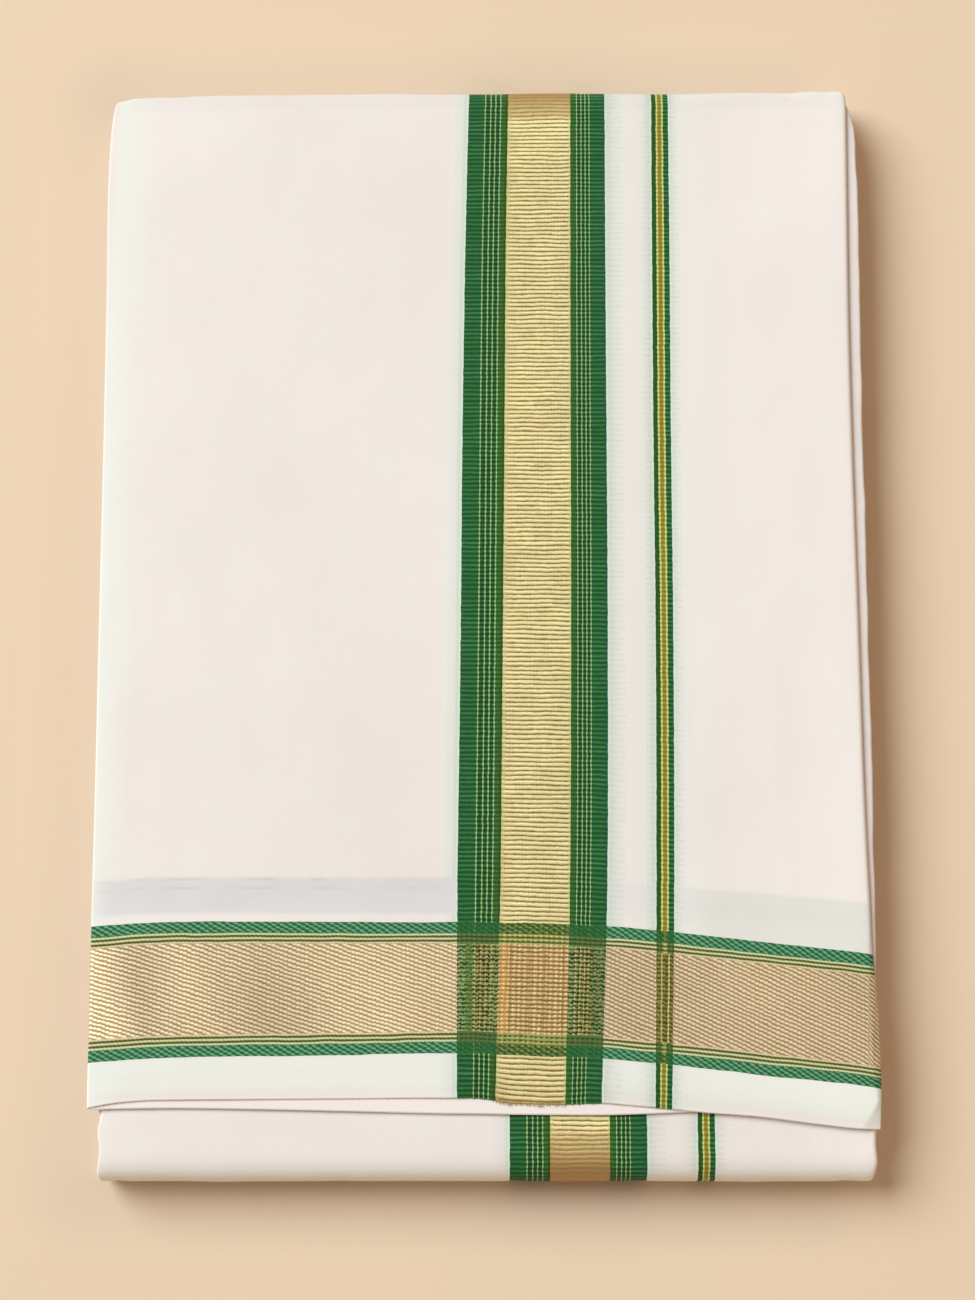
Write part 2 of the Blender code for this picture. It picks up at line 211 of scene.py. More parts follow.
# ---- soft creases of the front, as troughs (depth above 0) and ridges ------------------
CREASES = table("x0 y0 x1 y1 width depth", (
    (-0.150, -0.1175, -0.012, -0.1165, 0.0050, 0.00030),
    (-0.140, -0.1105, -0.090, -0.1098, 0.0012, 0.00010),
    (-0.070, -0.1100, -0.014, -0.1120, 0.0014, 0.00012),
    (0.050, -0.1190, 0.147, -0.1275, 0.0022, 0.00026),
    (-0.135, 0.1034, -0.099, 0.1034, 0.0007, 0.00010),
    (-0.083, 0.1030, -0.062, 0.1034, 0.0008, 0.00006),
    (-0.121, 0.190, -0.124, 0.110, 0.0016, 0.00007),
    (-0.040, 0.165, -0.041, 0.120, 0.0016, 0.00009),
    (0.098, 0.205, 0.101, 0.020, 0.0030, 0.00010),
    (0.112, -0.020, 0.118, -0.105, 0.0040, -0.00010),
    (-0.148, -0.080, -0.120, -0.092, 0.0022, 0.00010),
    (-0.120, 0.010, -0.095, -0.060, 0.0060, -0.00012),
    (-0.060, -0.040, -0.020, -0.070, 0.0070, 0.00010),
    (-0.142, -0.2060, -0.060, -0.2075, 0.0018, 0.00008),
    (0.070, -0.2060, 0.140, -0.2085, 0.0022, 0.00010),
))

# ---- creases across the two rounded ends, as troughs (depth above 0) and ridges --------
TOP_PUCKERS = table("x width depth", (
    (-0.141, 0.0040, 0.00035),
    (-0.118, 0.0060, -0.00018),
    (-0.083, 0.0035, 0.00022),
    (-0.037, 0.0080, -0.00020),
    (0.004, 0.0030, 0.00016),
    (0.041, 0.0030, 0.00018),
    (0.092, 0.0090, -0.00025),
    (0.128, 0.0040, 0.00030),
    (0.142, 0.0030, 0.00035),
))
NEAR_PUCKERS = table("x width depth", (
    (-0.140, 0.0030, 0.00030),
    (-0.102, 0.0080, -0.00018),
    (-0.055, 0.0040, 0.00014),
    (0.011, 0.0025, 0.00016),
    (0.061, 0.0030, 0.00016),
    (0.104, 0.0080, -0.00018),
    (0.139, 0.0035, 0.00030),
))

# ---- where the woven marks lie: cloth millimetres across, and x at stations along ------
MARK_STATIONS = (0.2182, 0.1491, 0.0850, -0.0181, -0.1170, -0.1895)
MARKS = table("across far upper middle lower band end near", (
    (-28.75, -0.0063, -0.0077, -0.0086, -0.0093, -0.0103, -0.0102, 0.0099),
    (-12.05, 0.0099, 0.0088, 0.0083, 0.0073, 0.0062, 0.0043, 0.0252),
    (14.35, 0.0356, 0.0352, 0.0349, 0.0344, 0.0332, 0.0311, 0.0479),
    (28.75, 0.0498, 0.0495, 0.0493, 0.0489, 0.0476, 0.0448, 0.0621),
    (48.00, 0.0691, 0.0685, 0.0681, 0.0678, 0.0667, 0.0655, 0.0815),
    (54.60, 0.0760, 0.0758, 0.0753, 0.0748, 0.0736, 0.0716, 0.0880),
))
UV_ORIGIN_MM = 420.0            # cloth millimetres across at the left of the map


# ==== small tools =======================================================================
def smooth_read(keys, values, at):
    """Read a table between its rows along a curve that keeps to its rows."""
    keys = np.asarray(keys, dtype=float)
    values = np.asarray(values, dtype=float)
    order = np.argsort(keys)
    keys = keys[order]
    values = values[order]
    slopes = np.gradient(values, keys)
    at = np.clip(np.asarray(at, dtype=float), keys[0], keys[-1])
    index = np.clip(np.searchsorted(keys, at) - 1, 0, len(keys) - 2)
    span = keys[index + 1] - keys[index]
    t = (at - keys[index]) / span
    h00 = 2 * t**3 - 3 * t**2 + 1
    h10 = t**3 - 2 * t**2 + t
    h01 = -2 * t**3 + 3 * t**2
    h11 = t**3 - t**2
    ends = h00 * values[index] + h01 * values[index + 1]
    return ends + span * (h10 * slopes[index] + h11 * slopes[index + 1])


def column(rows, key, field, at):
    """Read one column of a table at places given in another."""
    keys, values = ([getattr(row, name) for row in rows] for name in (key, field))
    return smooth_read(keys, values, at)


def settle(points):
    """Press the pack down and draw its ends in, as its solids are, leaving the underside flat."""
    x, y, z = points[..., 0], points[..., 1], points[..., 2]
    depth = np.zeros_like(x)
    for spot in PRESSED:
        away = ((x - spot.x) / spot.reach_x) ** 2 + ((y - spot.y) / spot.reach_y) ** 2
        depth += spot.depth * np.exp(-away)
    share = np.clip((np.abs(y) - (HALF_LENGTH - END_LINE_REACH)) / END_LINE_REACH, 0.0, 1.0) ** 2
    top = np.maximum(column(END_LINES, "x", "top", x), 0.0)
    near = np.maximum(column(END_LINES, "x", "near", x), 0.0)
    drawn = np.where(y > 0, -top, near) * share
    return np.stack((x, y + drawn, z * (1 - depth / THICKNESS)), axis=-1)


def fold_profile(angle):
    """A rounded end of unit size from the side: its point at an angle, and the way out there."""
    share = 2 / FOLD_SQUARENESS
    ways = (math.cos(angle), math.sin(angle))
    point = tuple(math.copysign(abs(way) ** share, way) for way in ways)
    out = tuple(math.copysign(abs(way) ** (2 - share), way) for way in ways)
    length = math.hypot(*out)
    return point, (out[0] / length, out[1] / length)


def linked(name, data):
    """A new object of the scene."""
    obj = bpy.data.objects.new(name, data)
    bpy.context.scene.collection.objects.link(obj)
    return obj


def bare_mesh(name, points, links):
    """An object of points, joined by links or by nothing, for a geometry tree to dress."""
    mesh = bpy.data.meshes.new(name)
    mesh.from_pydata(points.tolist(), links, [])
    return linked(name, mesh)


def bake_modifiers(obj):
    """Turn an object and its modifiers into a plain mesh of the same name."""
    bpy.context.view_layer.update()
    depsgraph = bpy.context.evaluated_depsgraph_get()
    mesh = bpy.data.meshes.new_from_object(obj.evaluated_get(depsgraph), depsgraph=depsgraph)
    name = obj.name
    bpy.data.objects.remove(obj, do_unlink=True)
    mesh.name = name
    mesh.shade_smooth()
    return linked(name, mesh)


def wall_inwards(obj):
    """Give a sheet its cloth wall, towards the inside of the fold."""
    wall = obj.modifiers.new("wall", "SOLIDIFY")
    wall.thickness = PLY
    wall.offset = -1.0
    return bake_modifiers(obj)


def add_node(tree, kind, settings=None, inputs=None, output=0):
    """Add a node and give one of its outputs. An input is a socket or a plain value."""
    made = tree.nodes.new(kind)
    for key, value in (settings or {}).items():
        setattr(made, key, value)
    for key, value in (inputs or {}).items():
        if isinstance(value, bpy.types.NodeSocket):
            tree.links.new(value, made.inputs[key])
        else:
            made.inputs[key].default_value = value
    return made.outputs[output] if made.outputs else None


# ==== shader arithmetic =================================================================
class Wire:
    """One number in a material. Plain arithmetic on it adds Math nodes."""

    def __init__(self, recipe, socket):
        self.recipe = recipe
        self.socket = socket

    def math(self, operation, *others):
        values = dict(enumerate((self, *others)))
        return self.recipe.node("ShaderNodeMath", {"operation": operation}, values)

    def __add__(self, other):
        return self.math("ADD", other)

    __radd__ = __add__

    def __sub__(self, other):
        return self.math("SUBTRACT", other)

    def __rsub__(self, other):
        return self.recipe.node("ShaderNodeMath", {"operation": "SUBTRACT"}, {0: other, 1: self})

    def __mul__(self, other):
        return self.math("MULTIPLY", other)

    __rmul__ = __mul__

    def __truediv__(self, other):
        return self.math("DIVIDE", other)

    def __pow__(self, other):
        return self.math("POWER", other)

    def near(self, centre, reach):
        """1 within reach of centre, otherwise 0."""
        return self.math("COMPARE", centre, reach)

    def above(self, limit):
        return self.math("GREATER_THAN", limit)

    def below(self, limit):
        return self.math("LESS_THAN", limit)

    def rise(self, start, length):
        """0 up to the start, then growing to 1 over a length."""
        return ((self - start) / length).clamped()

    def cosine(self):
        return self.math("COSINE")

    def clamped(self):
        return self.maximum(0.0).minimum(1.0)

    def maximum(self, other):
        return self.math("MAXIMUM", other)

    def minimum(self, other):
        return self.math("MINIMUM", other)

    def floor(self):
        return self.math("FLOOR")

    def fraction(self):
        return self.math("FRACT")

    def absolute(self):
        return self.math("ABSOLUTE")


MIX_FIRST = 6                   # a mix node's sockets for colours share their names with others
MIX_SECOND = 7
MIX_RESULT = 2


class Recipe:
    """A material in the making. Every node comes from node()."""

    def __init__(self, name):
        self.material = bpy.data.materials.new(name)
        self.material.use_nodes = True
        self.tree = self.material.node_tree
        self.tree.nodes.clear()

    def node(self, kind, settings=None, inputs=None, output=0):
        given = {key: getattr(value, "socket", value) for key, value in (inputs or {}).items()}
        return Wire(self, add_node(self.tree, kind, settings, given, output))

    def object_place(self):
        return self.node("ShaderNodeTexCoord", output="Object")

    def axes(self, place, count, scale=1 / MM):
        """The first few of x, y and z of a place, in millimetres."""
        kind = "ShaderNodeSeparateXYZ"
        return [self.node(kind, None, {0: place}, output=index) * scale for index in range(count)]

    def mix(self, factor, first, second):
        """From the first colour to the second, as the factor goes from 0 to 1 and no further."""
        inputs = {0: factor, MIX_FIRST: first, MIX_SECOND: second}
        settings = {"data_type": "RGBA", "clamp_factor": True}
        return self.node("ShaderNodeMix", settings, inputs, output=MIX_RESULT)

    def ramp(self, factor, stops):
        made = self.node("ShaderNodeValToRGB", None, {0: factor})
        elements = made.socket.node.color_ramp.elements
        while len(elements) < len(stops):
            elements.new(1.0)
        for element, (place, colour) in zip(elements, stops):
            element.position = place
            element.color = colour
        return made

    def scale_colour(self, colour, amount):
        """Multiply a colour by a grey number."""
        inputs = {0: colour, "Scale": amount}
        return self.node("ShaderNodeVectorMath", {"operation": "SCALE"}, inputs)

    def vector(self, x, y, z=0.0):
        return self.node("ShaderNodeCombineXYZ", None, {0: x, 1: y, 2: z})

    def noise(self, x, y, z=0.0, detail=2.0, roughness=0.5):
        """Smooth noise of a place, mostly within 0.3 and 0.7."""
        inputs = {"Vector": self.vector(x, y, z), "Scale": 1.0, "Detail": detail, "Roughness": roughness}
        return self.node("ShaderNodeTexNoise", {"noise_dimensions": "3D"}, inputs)

    def chance(self, x, y=0.0):
        """An even random number for each whole-number place."""
        inputs = {"Vector": self.vector(x, y)}
        return self.node("ShaderNodeTexWhiteNoise", {"noise_dimensions": "2D"}, inputs)

    def finish(self, colour, roughness, metallic, height, fixed):
        """Close the material. The height is its fine relief, in millimetres."""
        normal = self.node("ShaderNodeBump", None, {"Height": height, "Distance": MM, "Strength": 1.0})
        inputs = {"Base Color": colour, "Roughness": roughness, "Metallic": metallic, "Normal": normal}
        inputs.update(fixed)
        shader = self.node("ShaderNodeBsdfPrincipled", None, inputs)
        add_node(self.tree, "ShaderNodeOutputMaterial", None, {"Surface": shader.socket})
        return self.material


def srgb(red, green, blue):
    """Screen colour, 0 to 255, as the linear colour a shader takes."""
    linear = []
    for value in (red, green, blue):
        share = value / 255
        linear.append(share / 12.92 if share <= 0.04045 else ((share + 0.055) / 1.055) ** 2.4)
    return (*linear, 1.0)


# ---- colours of the yarns --------------------------------------------------------------
COTTON = srgb(244, 237, 231)
COTTON_SHADE = srgb(239, 231, 225)
COTTON_COOL = srgb(239, 243, 234)
COTTON_BRIGHT = srgb(226, 248, 228)
GAP_SHADE_GREY = srgb(206, 217, 203)
NEAR_FOLD_PAINTED_LIGHT = srgb(248, 250, 240)
PRESS_SHADE_GREY = srgb(223, 223, 223)
CREASE_LINE_SHADE = srgb(206, 208, 188)
GREEN = srgb(44, 112, 56)
GREEN_LIGHT = srgb(78, 144, 94)
GREEN_DARK = srgb(14, 76, 30)
GREEN_BLACK = srgb(16, 52, 0)
GREEN_WARM = srgb(68, 116, 36)
GREEN_WARM_DARK = srgb(42, 82, 16)
GREEN_TEAL = srgb(30, 72, 84)
GREEN_SEAM = srgb(56, 66, 6)
DOT_YARN = srgb(186, 216, 150)
DOT_DIM = srgb(92, 140, 78)
STRIPE_YELLOW = srgb(230, 236, 140)
STRIPE_OLIVE = srgb(140, 130, 40)
STRIPE_GOLD = srgb(182, 168, 74)
GOLD_LIGHT = srgb(255, 246, 184)
GOLD_DARK = srgb(132, 106, 40)
GOLD_RED = srgb(240, 188, 126)
GOLD_EDGE = srgb(206, 216, 148)
GOLD_FOLD_SHADE = srgb(182, 146, 88)
GOLD_FRAYED_SHADOW = srgb(164, 122, 72)
LINE_PALE = srgb(206, 222, 170)
LINE_INNER = srgb(222, 210, 160)
LINE_DARK = srgb(86, 86, 28)
TWILL_GREEN_LIGHT = srgb(118, 178, 134)
TWILL_GREEN_DARK = srgb(24, 96, 56)
CROSS_GOLD_LOW = srgb(128, 98, 40)
CROSS_GOLD = srgb(218, 186, 128)
CROSS_GOLD_WARM = srgb(226, 172, 124)
CROSS_GOLD_KNOT = srgb(255, 246, 190)
CROSS_RED = srgb(232, 172, 80)
CROSS_GREEN_LOW = srgb(22, 60, 12)
CROSS_GREEN = srgb(156, 172, 112)
CROSS_OLIVE = srgb(170, 156, 84)
CROSS_BEIGE = srgb(216, 202, 140)
CROSS_BLACK = srgb(16, 20, 6)
CROSS_LINE_LOW = srgb(64, 84, 20)
CROSS_LINE_KNOT = srgb(214, 214, 128)
CROSS_DEEP = srgb(14, 94, 42)
CROSS_STRIPE_DEEP = srgb(58, 58, 6)

TWILL_TONES = table("ridge colour", (
    (0.0, srgb(156, 130, 88)),
    (0.22, srgb(202, 177, 136)),
    (0.60, srgb(226, 204, 165)),
    (0.85, srgb(239, 218, 180)),
    (1.0, srgb(255, 243, 212)),
))

# ---- layout of the weave, cloth millimetres --------------------------------------------
RIB_PITCH = 1.82
TWILL_PITCH = 1.66
TWILL_FALL = 0.35               # how far a gold twill line falls for each millimetre across
TWILL_GROUP = 1.62              # warp ends that a twill line crosses in one flatter float
TWILL_FLATNESS = 0.45
EDGE_TWILL_PITCH = 1.85
EDGE_TWILL_FALL = 0.55
LINE_PITCH = 1.62               # the fine lines beside the green edges
FIRST_LINE = 0.6
CROSS_ROW = 1.68
CROSS_COLUMN = 1.98
CHEVRON_WIDTH = 2.6
Span = namedtuple("Span", "low high")
BORDER = Span(-28.75, 28.75)
ZARI = Span(-12.05, 14.35)
ZARI_RIMS = (Span(-12.05, -10.7), Span(13.6, 14.35))
ZARI_SEAM = Span(-12.9, -12.05)
ZARI_WARP_PITCH = 1.32
BESIDE_ZARI = (Span(-14.7, -12.05), Span(14.35, 16.3))
TEAL_EDGE = Span(27.4, 28.75)
STRIPE = Span(48.00, 54.60)
STRIPE_SIDE = Span(48.0, 49.6)
STRIPE_HEART = Span(50.15, 52.15)
LEFT_DOTS = (-21.65, -19.30, -17.25, -15.15)
RIGHT_DOTS = (17.00, 18.85, 20.55, 22.20)
BETWEEN_DOTS = (Span(-22.0, -14.9), Span(16.5, 22.6))   # the green is darkest here
STRIPE_DOTS = (50.10, 52.22)
CROSS_STRIPE_DOTS = (50.05, 52.75)
DOT_HALF = 0.26
RIGHT_DOT_HALF = 0.22
STRIPE_DOT_HALF = 0.34
BRIGHT_WARPS = (-29.2, 29.2, 47.6, 55.0)                # white warps beside the coloured ones
TICKED = (Span(28.7, 36.0), Span(44.5, 48.0), Span(54.6, 58.5))     # fine ticks beside the colours
TICK_PITCH = 2.25
RED_COLUMN = Span(-11.4, -8.0)  # the gold is redder here
DARK_COLUMNS = (-7.7, -0.2, 5.4, 12.3)                  # under the band it is darker at these warps,
DEEP_COLUMNS = Span(22.6, 28.8)                         # the green deeper here,
PURE_COLUMN = Span(-25.2, -22.6)                        # plainer here,
BLACK_COLUMNS = (-20.0, -18.2, -16.2, 18.2, 21.3)       # and nearly black at these warps
LOWER_BODY = 430.0              # beyond the far fold: the underside and the lower body
FRAYED = 1.8                    # fraying gold with a painted shadow under it darkens this near the free end
ROLLED_END = Span(-1.0, 7.5)    # the cut end rolls down, and catches the light at the left
PLAIN_END = Span(3.0, 16.6)     # plain cloth between the free end and the band
LOWER_EDGE = Span(16.6, 20.7)
LOWER_LINES = Span(20.7, 24.9)
TWILL = Span(24.9, 58.9)
UPPER_LINES = Span(58.9, 63.1)
UPPER_EDGE = Span(63.1, 67.3)
PRESS_BAND = Span(70.6, 84.4)
RIGHT_PRESS = Span(62.6, 84.4)  # right of the stripe the painted press shade reaches down to the band
PRESS_EDGE = 1.8
PRESS_LINES = (83.9, 80.4)
GLEAM = 30.0                    # painted sheen: the gold brightens over this length up to the far fold
FAR_TURN = 4.0                  # the gold's painted shade starts this far before it goes over the far fold
NEAR_TURN = 8.5                 # and this far before the near one
ROUND_FOLD = Span(0.0, 45.0)    # the cloth that goes round an end of the pack
GOLD_ROUND_FOLD = Span(0.0, 55.0)
FOLD_TURN = 129.0               # from here the twill runs steeper, over the right fold
FOLD_TURN_FALL = 0.8
LEFT_RIM = -171.0               # the left fold begins here
LEFT_GROUND = -29.5             # plain cloth left of the border
RIGHT_GROUND = 29.0             # and right of it
RIGHT_OF_STRIPE = 58.0

# ---- uneven yarns: noise with so many waves to a millimetre across and along -----------
Field = namedtuple("Field", "across along seed")
FINE = Field(2.3, 2.3, 5.0)
SLUB = Field(0.12, 3.2, 1.0)
WARP_SLUB = Field(3.0, 0.10, 2.0)
PATCH = Field(0.05, 0.05, 17.0)
CLOUD = Field(0.012, 0.012, 4.0)
Sway = namedtuple("Sway", "across along seed size")
YARN_WANDER = Sway(0.07, 0.10, 9.0, 2.2)
WARP_SWAY = Sway(0.05, 0.35, 3.0, 0.5)
BAND_SWAY = Sway(0.25, 0.25, 31.0, 1.0)
RIB_SWAY = Sway(0.5, 1.2, 7.0, 0.5)
ROW_SWAY = Sway(0.6, 0.6, 51.0, 0.9)
FILE_SWAY = Sway(0.4, 0.05, 53.0, 1.1)
CHEVRON_SWAY = Sway(0.8, 0.8, 61.0, 2.2)
Patches = namedtuple("Patches", "across along seed gain less")
MOTTLED = Patches(0.09, 0.09, 27.0, 5.0, 2.9)
TICKED_PATCHES = Patches(0.3, 0.9, 12.0, 3.0, 1.0)
PRESSED_PATCHES = Patches(0.07, 0.05, 19.0, 5.0, 2.1)
TEAL_PATCHES = Patches(1.4, 0.3, 15.0, 3.0, 1.0)
RED_PATCHES = Patches(0.5, 0.05, 21.0, 4.0, 2.3)
WARP_PATCHES = Patches(0.4, 0.03, 23.0, 3.0, 1.1)
FRAYED_SHADOW_PATCHES = Patches(1.1, 0.8, 63.0, 3.0, 0.6)
KNOT_PATCHES = Patches(0.45, 0.45, 59.0, 2.6, 0.6)
CROSS_RED_PATCHES = Patches(0.5, 0.5, 57.0, 4.0, 1.3)

# ---- slow changes across the cloth, in cloth millimetres -------------------------------
ACROSS = Span(-180.0, 140.0)    # the reach of these tables
# the cloth's cooler tone; near the left fold it also paints that fold's highlight
COOL_TINT = table("across share", (
    (-174.5, 0.00), (-172.0, 0.85), (-164.0, 0.50), (-157.0, 0.05), (-37.0, 0.00),
    (-35.0, 0.50), (-29.0, 0.50), (29.0, 0.40), (36.0, 0.55), (40.0, 0.05),
    (43.0, 0.40), (47.0, 0.55), (55.0, 0.75), (61.0, 0.40), (74.0, 0.05),
    (112.0, 0.05), (122.0, 0.15),
))
# painted shade on the white cloth right beside the border and the stripe
GAP_SHADE_TINT = table("across share", (
    (-36.0, 0.00), (-32.5, 0.22), (-30.7, 0.30), (-29.9, 0.80), (-28.8, 0.80),
    (28.8, 1.00), (29.6, 0.88), (30.4, 0.68), (32.0, 0.42), (33.8, 0.24),
    (35.5, 0.12), (39.0, 0.03), (41.0, 0.05), (44.0, 0.22), (45.6, 0.44),
    (46.4, 0.70), (47.2, 0.95), (48.0, 1.00), (54.6, 0.95), (55.6, 0.66),
    (56.4, 0.40), (57.6, 0.16), (59.6, 0.05), (62.0, 0.00),
))
CROSS_OLIVE_TINT = table("across share", (
    (-28.8, 0.00), (-22.8, 0.10), (-21.5, 0.85), (-17.5, 0.75), (-12.1, 0.30),
    (14.4, 0.15), (17.0, 0.30), (19.0, 0.90), (22.5, 0.80), (24.0, 0.45),
    (28.8, 0.00),
))
# painted sheen: where the band's undulations catch or miss the light
BAND_SHEEN = table("across share", (
    (-172.0, 0.60), (-165.0, 0.74), (-153.0, 0.10), (-133.0, 0.62), (-118.0, 0.31),
    (-105.0, 0.20), (-60.0, 0.92), (-32.0, 0.70), (39.0, 0.38), (79.0, 0.70),
    (109.0, 0.78), (130.0, 0.60),
))


def within(wire, span):
    """1 inside the span, otherwise 0."""
    return wire.near((span.low + span.high) / 2, (span.high - span.low) / 2)


def line_mask(wire, places, half):
    """1 on any of the lines, otherwise 0."""
    mask = wire.near(places[0], half)
    for place in places[1:]:
        mask = mask + wire.near(place, half)
    return mask.minimum(1.0)


def within_any(wire, spans):
    """1 inside any of the spans, otherwise 0."""
    mask = within(wire, spans[0])
    for span in spans[1:]:
        mask = mask.maximum(within(wire, span))
    return mask


def ridge_lines(wire, places, half):
    """1 on each line, falling to 0 at half its width."""
    lines = [(1.0 - (wire - place).absolute() / half).clamped() for place in places]
    return sum(lines[1:], lines[0])


def ridge(wire, pitch, sharp=1.0):
    """A smooth wave of a length: 1 on each ridge, 0 between."""
    wave = (wire * (2 * math.pi / pitch)).cosine() * 0.5 + 0.5
    return wave ** sharp if sharp != 1.0 else wave


def soft_span(wire, span, edge):
    """1 inside the span, falling to 0 over a length at both of its ends."""
    return wire.rise(span.low - edge / 2, edge) * (1.0 - wire.rise(span.high - edge / 2, edge))


def tint_across(recipe, across, tints):
    """A grey share read from a table of places across the cloth."""
    width = ACROSS.high - ACROSS.low
    stops = [((tint.across - ACROSS.low) / width, (*[tint.share] * 3, 1.0)) for tint in tints]
    return recipe.ramp((across - ACROSS.low) / width, stops)


def stepped(wire, group, flatness):
    """A place across the cloth that moves in flatter floats, with a step between them."""
    share = wire / group
    return (share.floor() + share.fraction() * flatness) * group


class Weave:
    """Where a point lies on the cloth, in millimetres, and which part of the design it is in."""

    def __init__(self, recipe):
        self.recipe = recipe
        place = recipe.node("ShaderNodeUVMap", {"uv_map": "cloth"})
        from_map, along = recipe.axes(place, 2)
        across = from_map - UV_ORIGIN_MM
        self.across = across
        self.along = along
        # yarns wander a little, so no line is drawn with a ruler
        self.wander = self.sway(YARN_WANDER, detail=3.0)
        self.u = across + self.sway(WARP_SWAY)
        self.v = along + self.wander * 0.45
        self.fine = self.noise(FINE, detail=3.0, roughness=0.6)
        self.slub = self.noise(SLUB)
        self.warp_slub = self.noise(WARP_SLUB)
        self.patch = self.noise(PATCH)
        self.grain = (self.fine - 0.5) * 0.5 + (self.warp_slub - 0.5) * 0.5
        self.find_colours()
        self.find_band()
        self.find_yarns()

    def find_colours(self):
        """Which coloured warp lies here."""
        self.border = within(self.u, BORDER)
        self.zari = within(self.u, ZARI)
        self.stripe = within(self.u, STRIPE)
        self.heart = within(self.u, STRIPE_HEART)
        self.coloured = self.border.maximum(self.stripe)
        self.between_dots = within_any(self.u, BETWEEN_DOTS)
        left_dots = line_mask(self.u, LEFT_DOTS, DOT_HALF)
        self.dots = left_dots.maximum(line_mask(self.u, RIGHT_DOTS, RIGHT_DOT_HALF))
        self.stripe_dots = line_mask(self.u, STRIPE_DOTS, STRIPE_DOT_HALF)

    def find_band(self):
        """Which weft of the end band lies here, and how high its floats stand."""
        self.twill = within(self.v, TWILL)
        self.edges = within_any(self.v, (LOWER_EDGE, UPPER_EDGE))
        self.lines = within_any(self.v, (LOWER_LINES, UPPER_LINES))
        self.band = self.twill.maximum(self.edges).maximum(self.lines)
        place = self.v + self.sway(BAND_SWAY)
        turned = (self.u - FOLD_TURN).maximum(0.0) * FOLD_TURN_FALL
        steps = stepped(self.u, TWILL_GROUP, TWILL_FLATNESS)
        self.twill_ridge = ridge(place + steps * TWILL_FALL + turned, TWILL_PITCH)
        self.edge_ridge = ridge(place + steps * EDGE_TWILL_FALL, EDGE_TWILL_PITCH, 1.8)
        self.from_edge = (self.v - LOWER_LINES.low).minimum(UPPER_LINES.high - self.v)
        self.line_ridge = ridge(self.from_edge - FIRST_LINE + (self.fine - 0.5) * 0.3, LINE_PITCH)

    def find_yarns(self):
        """How high the ribs stand here, and the rows and files where band and border cross."""
        rib_place = self.along + self.wander * 0.6 + self.sway(RIB_SWAY)
        self.rib = ridge(rib_place, RIB_PITCH)
        self.ribbed = self.rib * 0.9 + self.grain
        chance = self.recipe.chance
        self.rib_luck = chance((rib_place / RIB_PITCH).floor(), (self.across * 0.14).floor())
        self.row = ridge(self.v + self.sway(ROW_SWAY), CROSS_ROW)
        self.file = ridge(self.u + self.sway(FILE_SWAY), CROSS_COLUMN)
        self.file_luck = chance((self.u / CROSS_COLUMN).floor())
        ticked = within_any(self.u, TICKED) * self.patches(TICKED_PATCHES)
        self.tick = ridge(self.along + self.wander, TICK_PITCH, 2.0) * ticked

    def noise(self, field, **kinds):
        """The noise of a field, a sway or patches, at this place on the cloth."""
        return self.recipe.noise(self.across * field.across, self.along * field.along, field.seed, **kinds)

    def sway(self, sway, **kinds):
        """Noise around 0, times the size of the sway."""
        return (self.noise(sway, **kinds) - 0.5) * sway.size

    def patches(self, patches):
        """Noise pushed to its ends: 1 inside the patches, 0 between."""
        return (self.noise(patches) * patches.gain - patches.less).clamped()


def plain_cotton(r, w, folds):
    """White ground, cooler at the sides; painted shade beside the coloured warp and in the press trough.
    """
    cloud = w.noise(CLOUD)
    colour = r.mix(cloud * 1.8 - 0.4, COTTON, COTTON_SHADE)
    mottle = w.patches(MOTTLED) * 0.4
    # cooler tone, and a painted highlight near the left fold
    cool = (tint_across(r, w.across, COOL_TINT) * w.along.below(LOWER_BODY)).maximum(mottle)
    plain_end = soft_span(w.v, PLAIN_END, 3.0) * w.across.above(LEFT_RIM)
    colour = r.mix(cool.maximum(plain_end * 0.85), colour, COTTON_COOL)
    # painted shade beside the border and the stripe
    colour = r.mix(tint_across(r, w.u, GAP_SHADE_TINT), colour, GAP_SHADE_GREY)
    colour = r.mix(line_mask(w.u, BRIGHT_WARPS, 0.4) * 0.45, colour, COTTON_BRIGHT)
    on_left = w.u.below(LEFT_GROUND)
    left = w.across.rise(LEFT_RIM, 9.0) * on_left
    right = w.u.above(RIGHT_GROUND) * 0.30
    # painted shade of the pressed trough above the band, darker still in its creases
    beside_band = soft_span(w.v, RIGHT_PRESS, PRESS_EDGE) * w.across.rise(RIGHT_OF_STRIPE, 12.0)
    colour = r.mix(beside_band * 0.36, colour, GAP_SHADE_GREY)
    pressed = soft_span(w.v, PRESS_BAND, PRESS_EDGE) * (w.patch * 0.5 + 0.72)
    colour = r.mix(pressed * left.maximum(right), colour, PRESS_SHADE_GREY)
    broken = w.patches(PRESSED_PATCHES)
    creased = ridge_lines(w.v, PRESS_LINES, 0.8)
    colour = r.mix(creased * broken * left * 0.6, colour, CREASE_LINE_SHADE)
    # painted shade over the far fold, and painted light over the near fold
    far_fold_shade = within(folds.past_far, ROUND_FOLD) * folds.past_far.rise(0.0, 7.0)
    near_fold_shading = within(folds.before_near, ROUND_FOLD) * folds.before_near.rise(5.0, 5.0)
    colour = r.mix(near_fold_shading, colour, NEAR_FOLD_PAINTED_LIGHT)
    threads = (w.slub - 0.5) * 0.06 + (w.warp_slub - 0.5) * 0.03 + (w.fine - 0.5) * 0.04 + 1.0
    # painted light: the cloth is brighter towards its right side
    lit = w.across.rise(56.0, 30.0) * 0.030 + w.across.rise(86.0, 30.0) * 0.035
    rolled = soft_span(w.v, ROLLED_END, 3.5) * on_left * 0.05
    return r.scale_colour(colour, threads + lit + rolled - w.tick * 0.08 - far_fold_shade * 0.12)


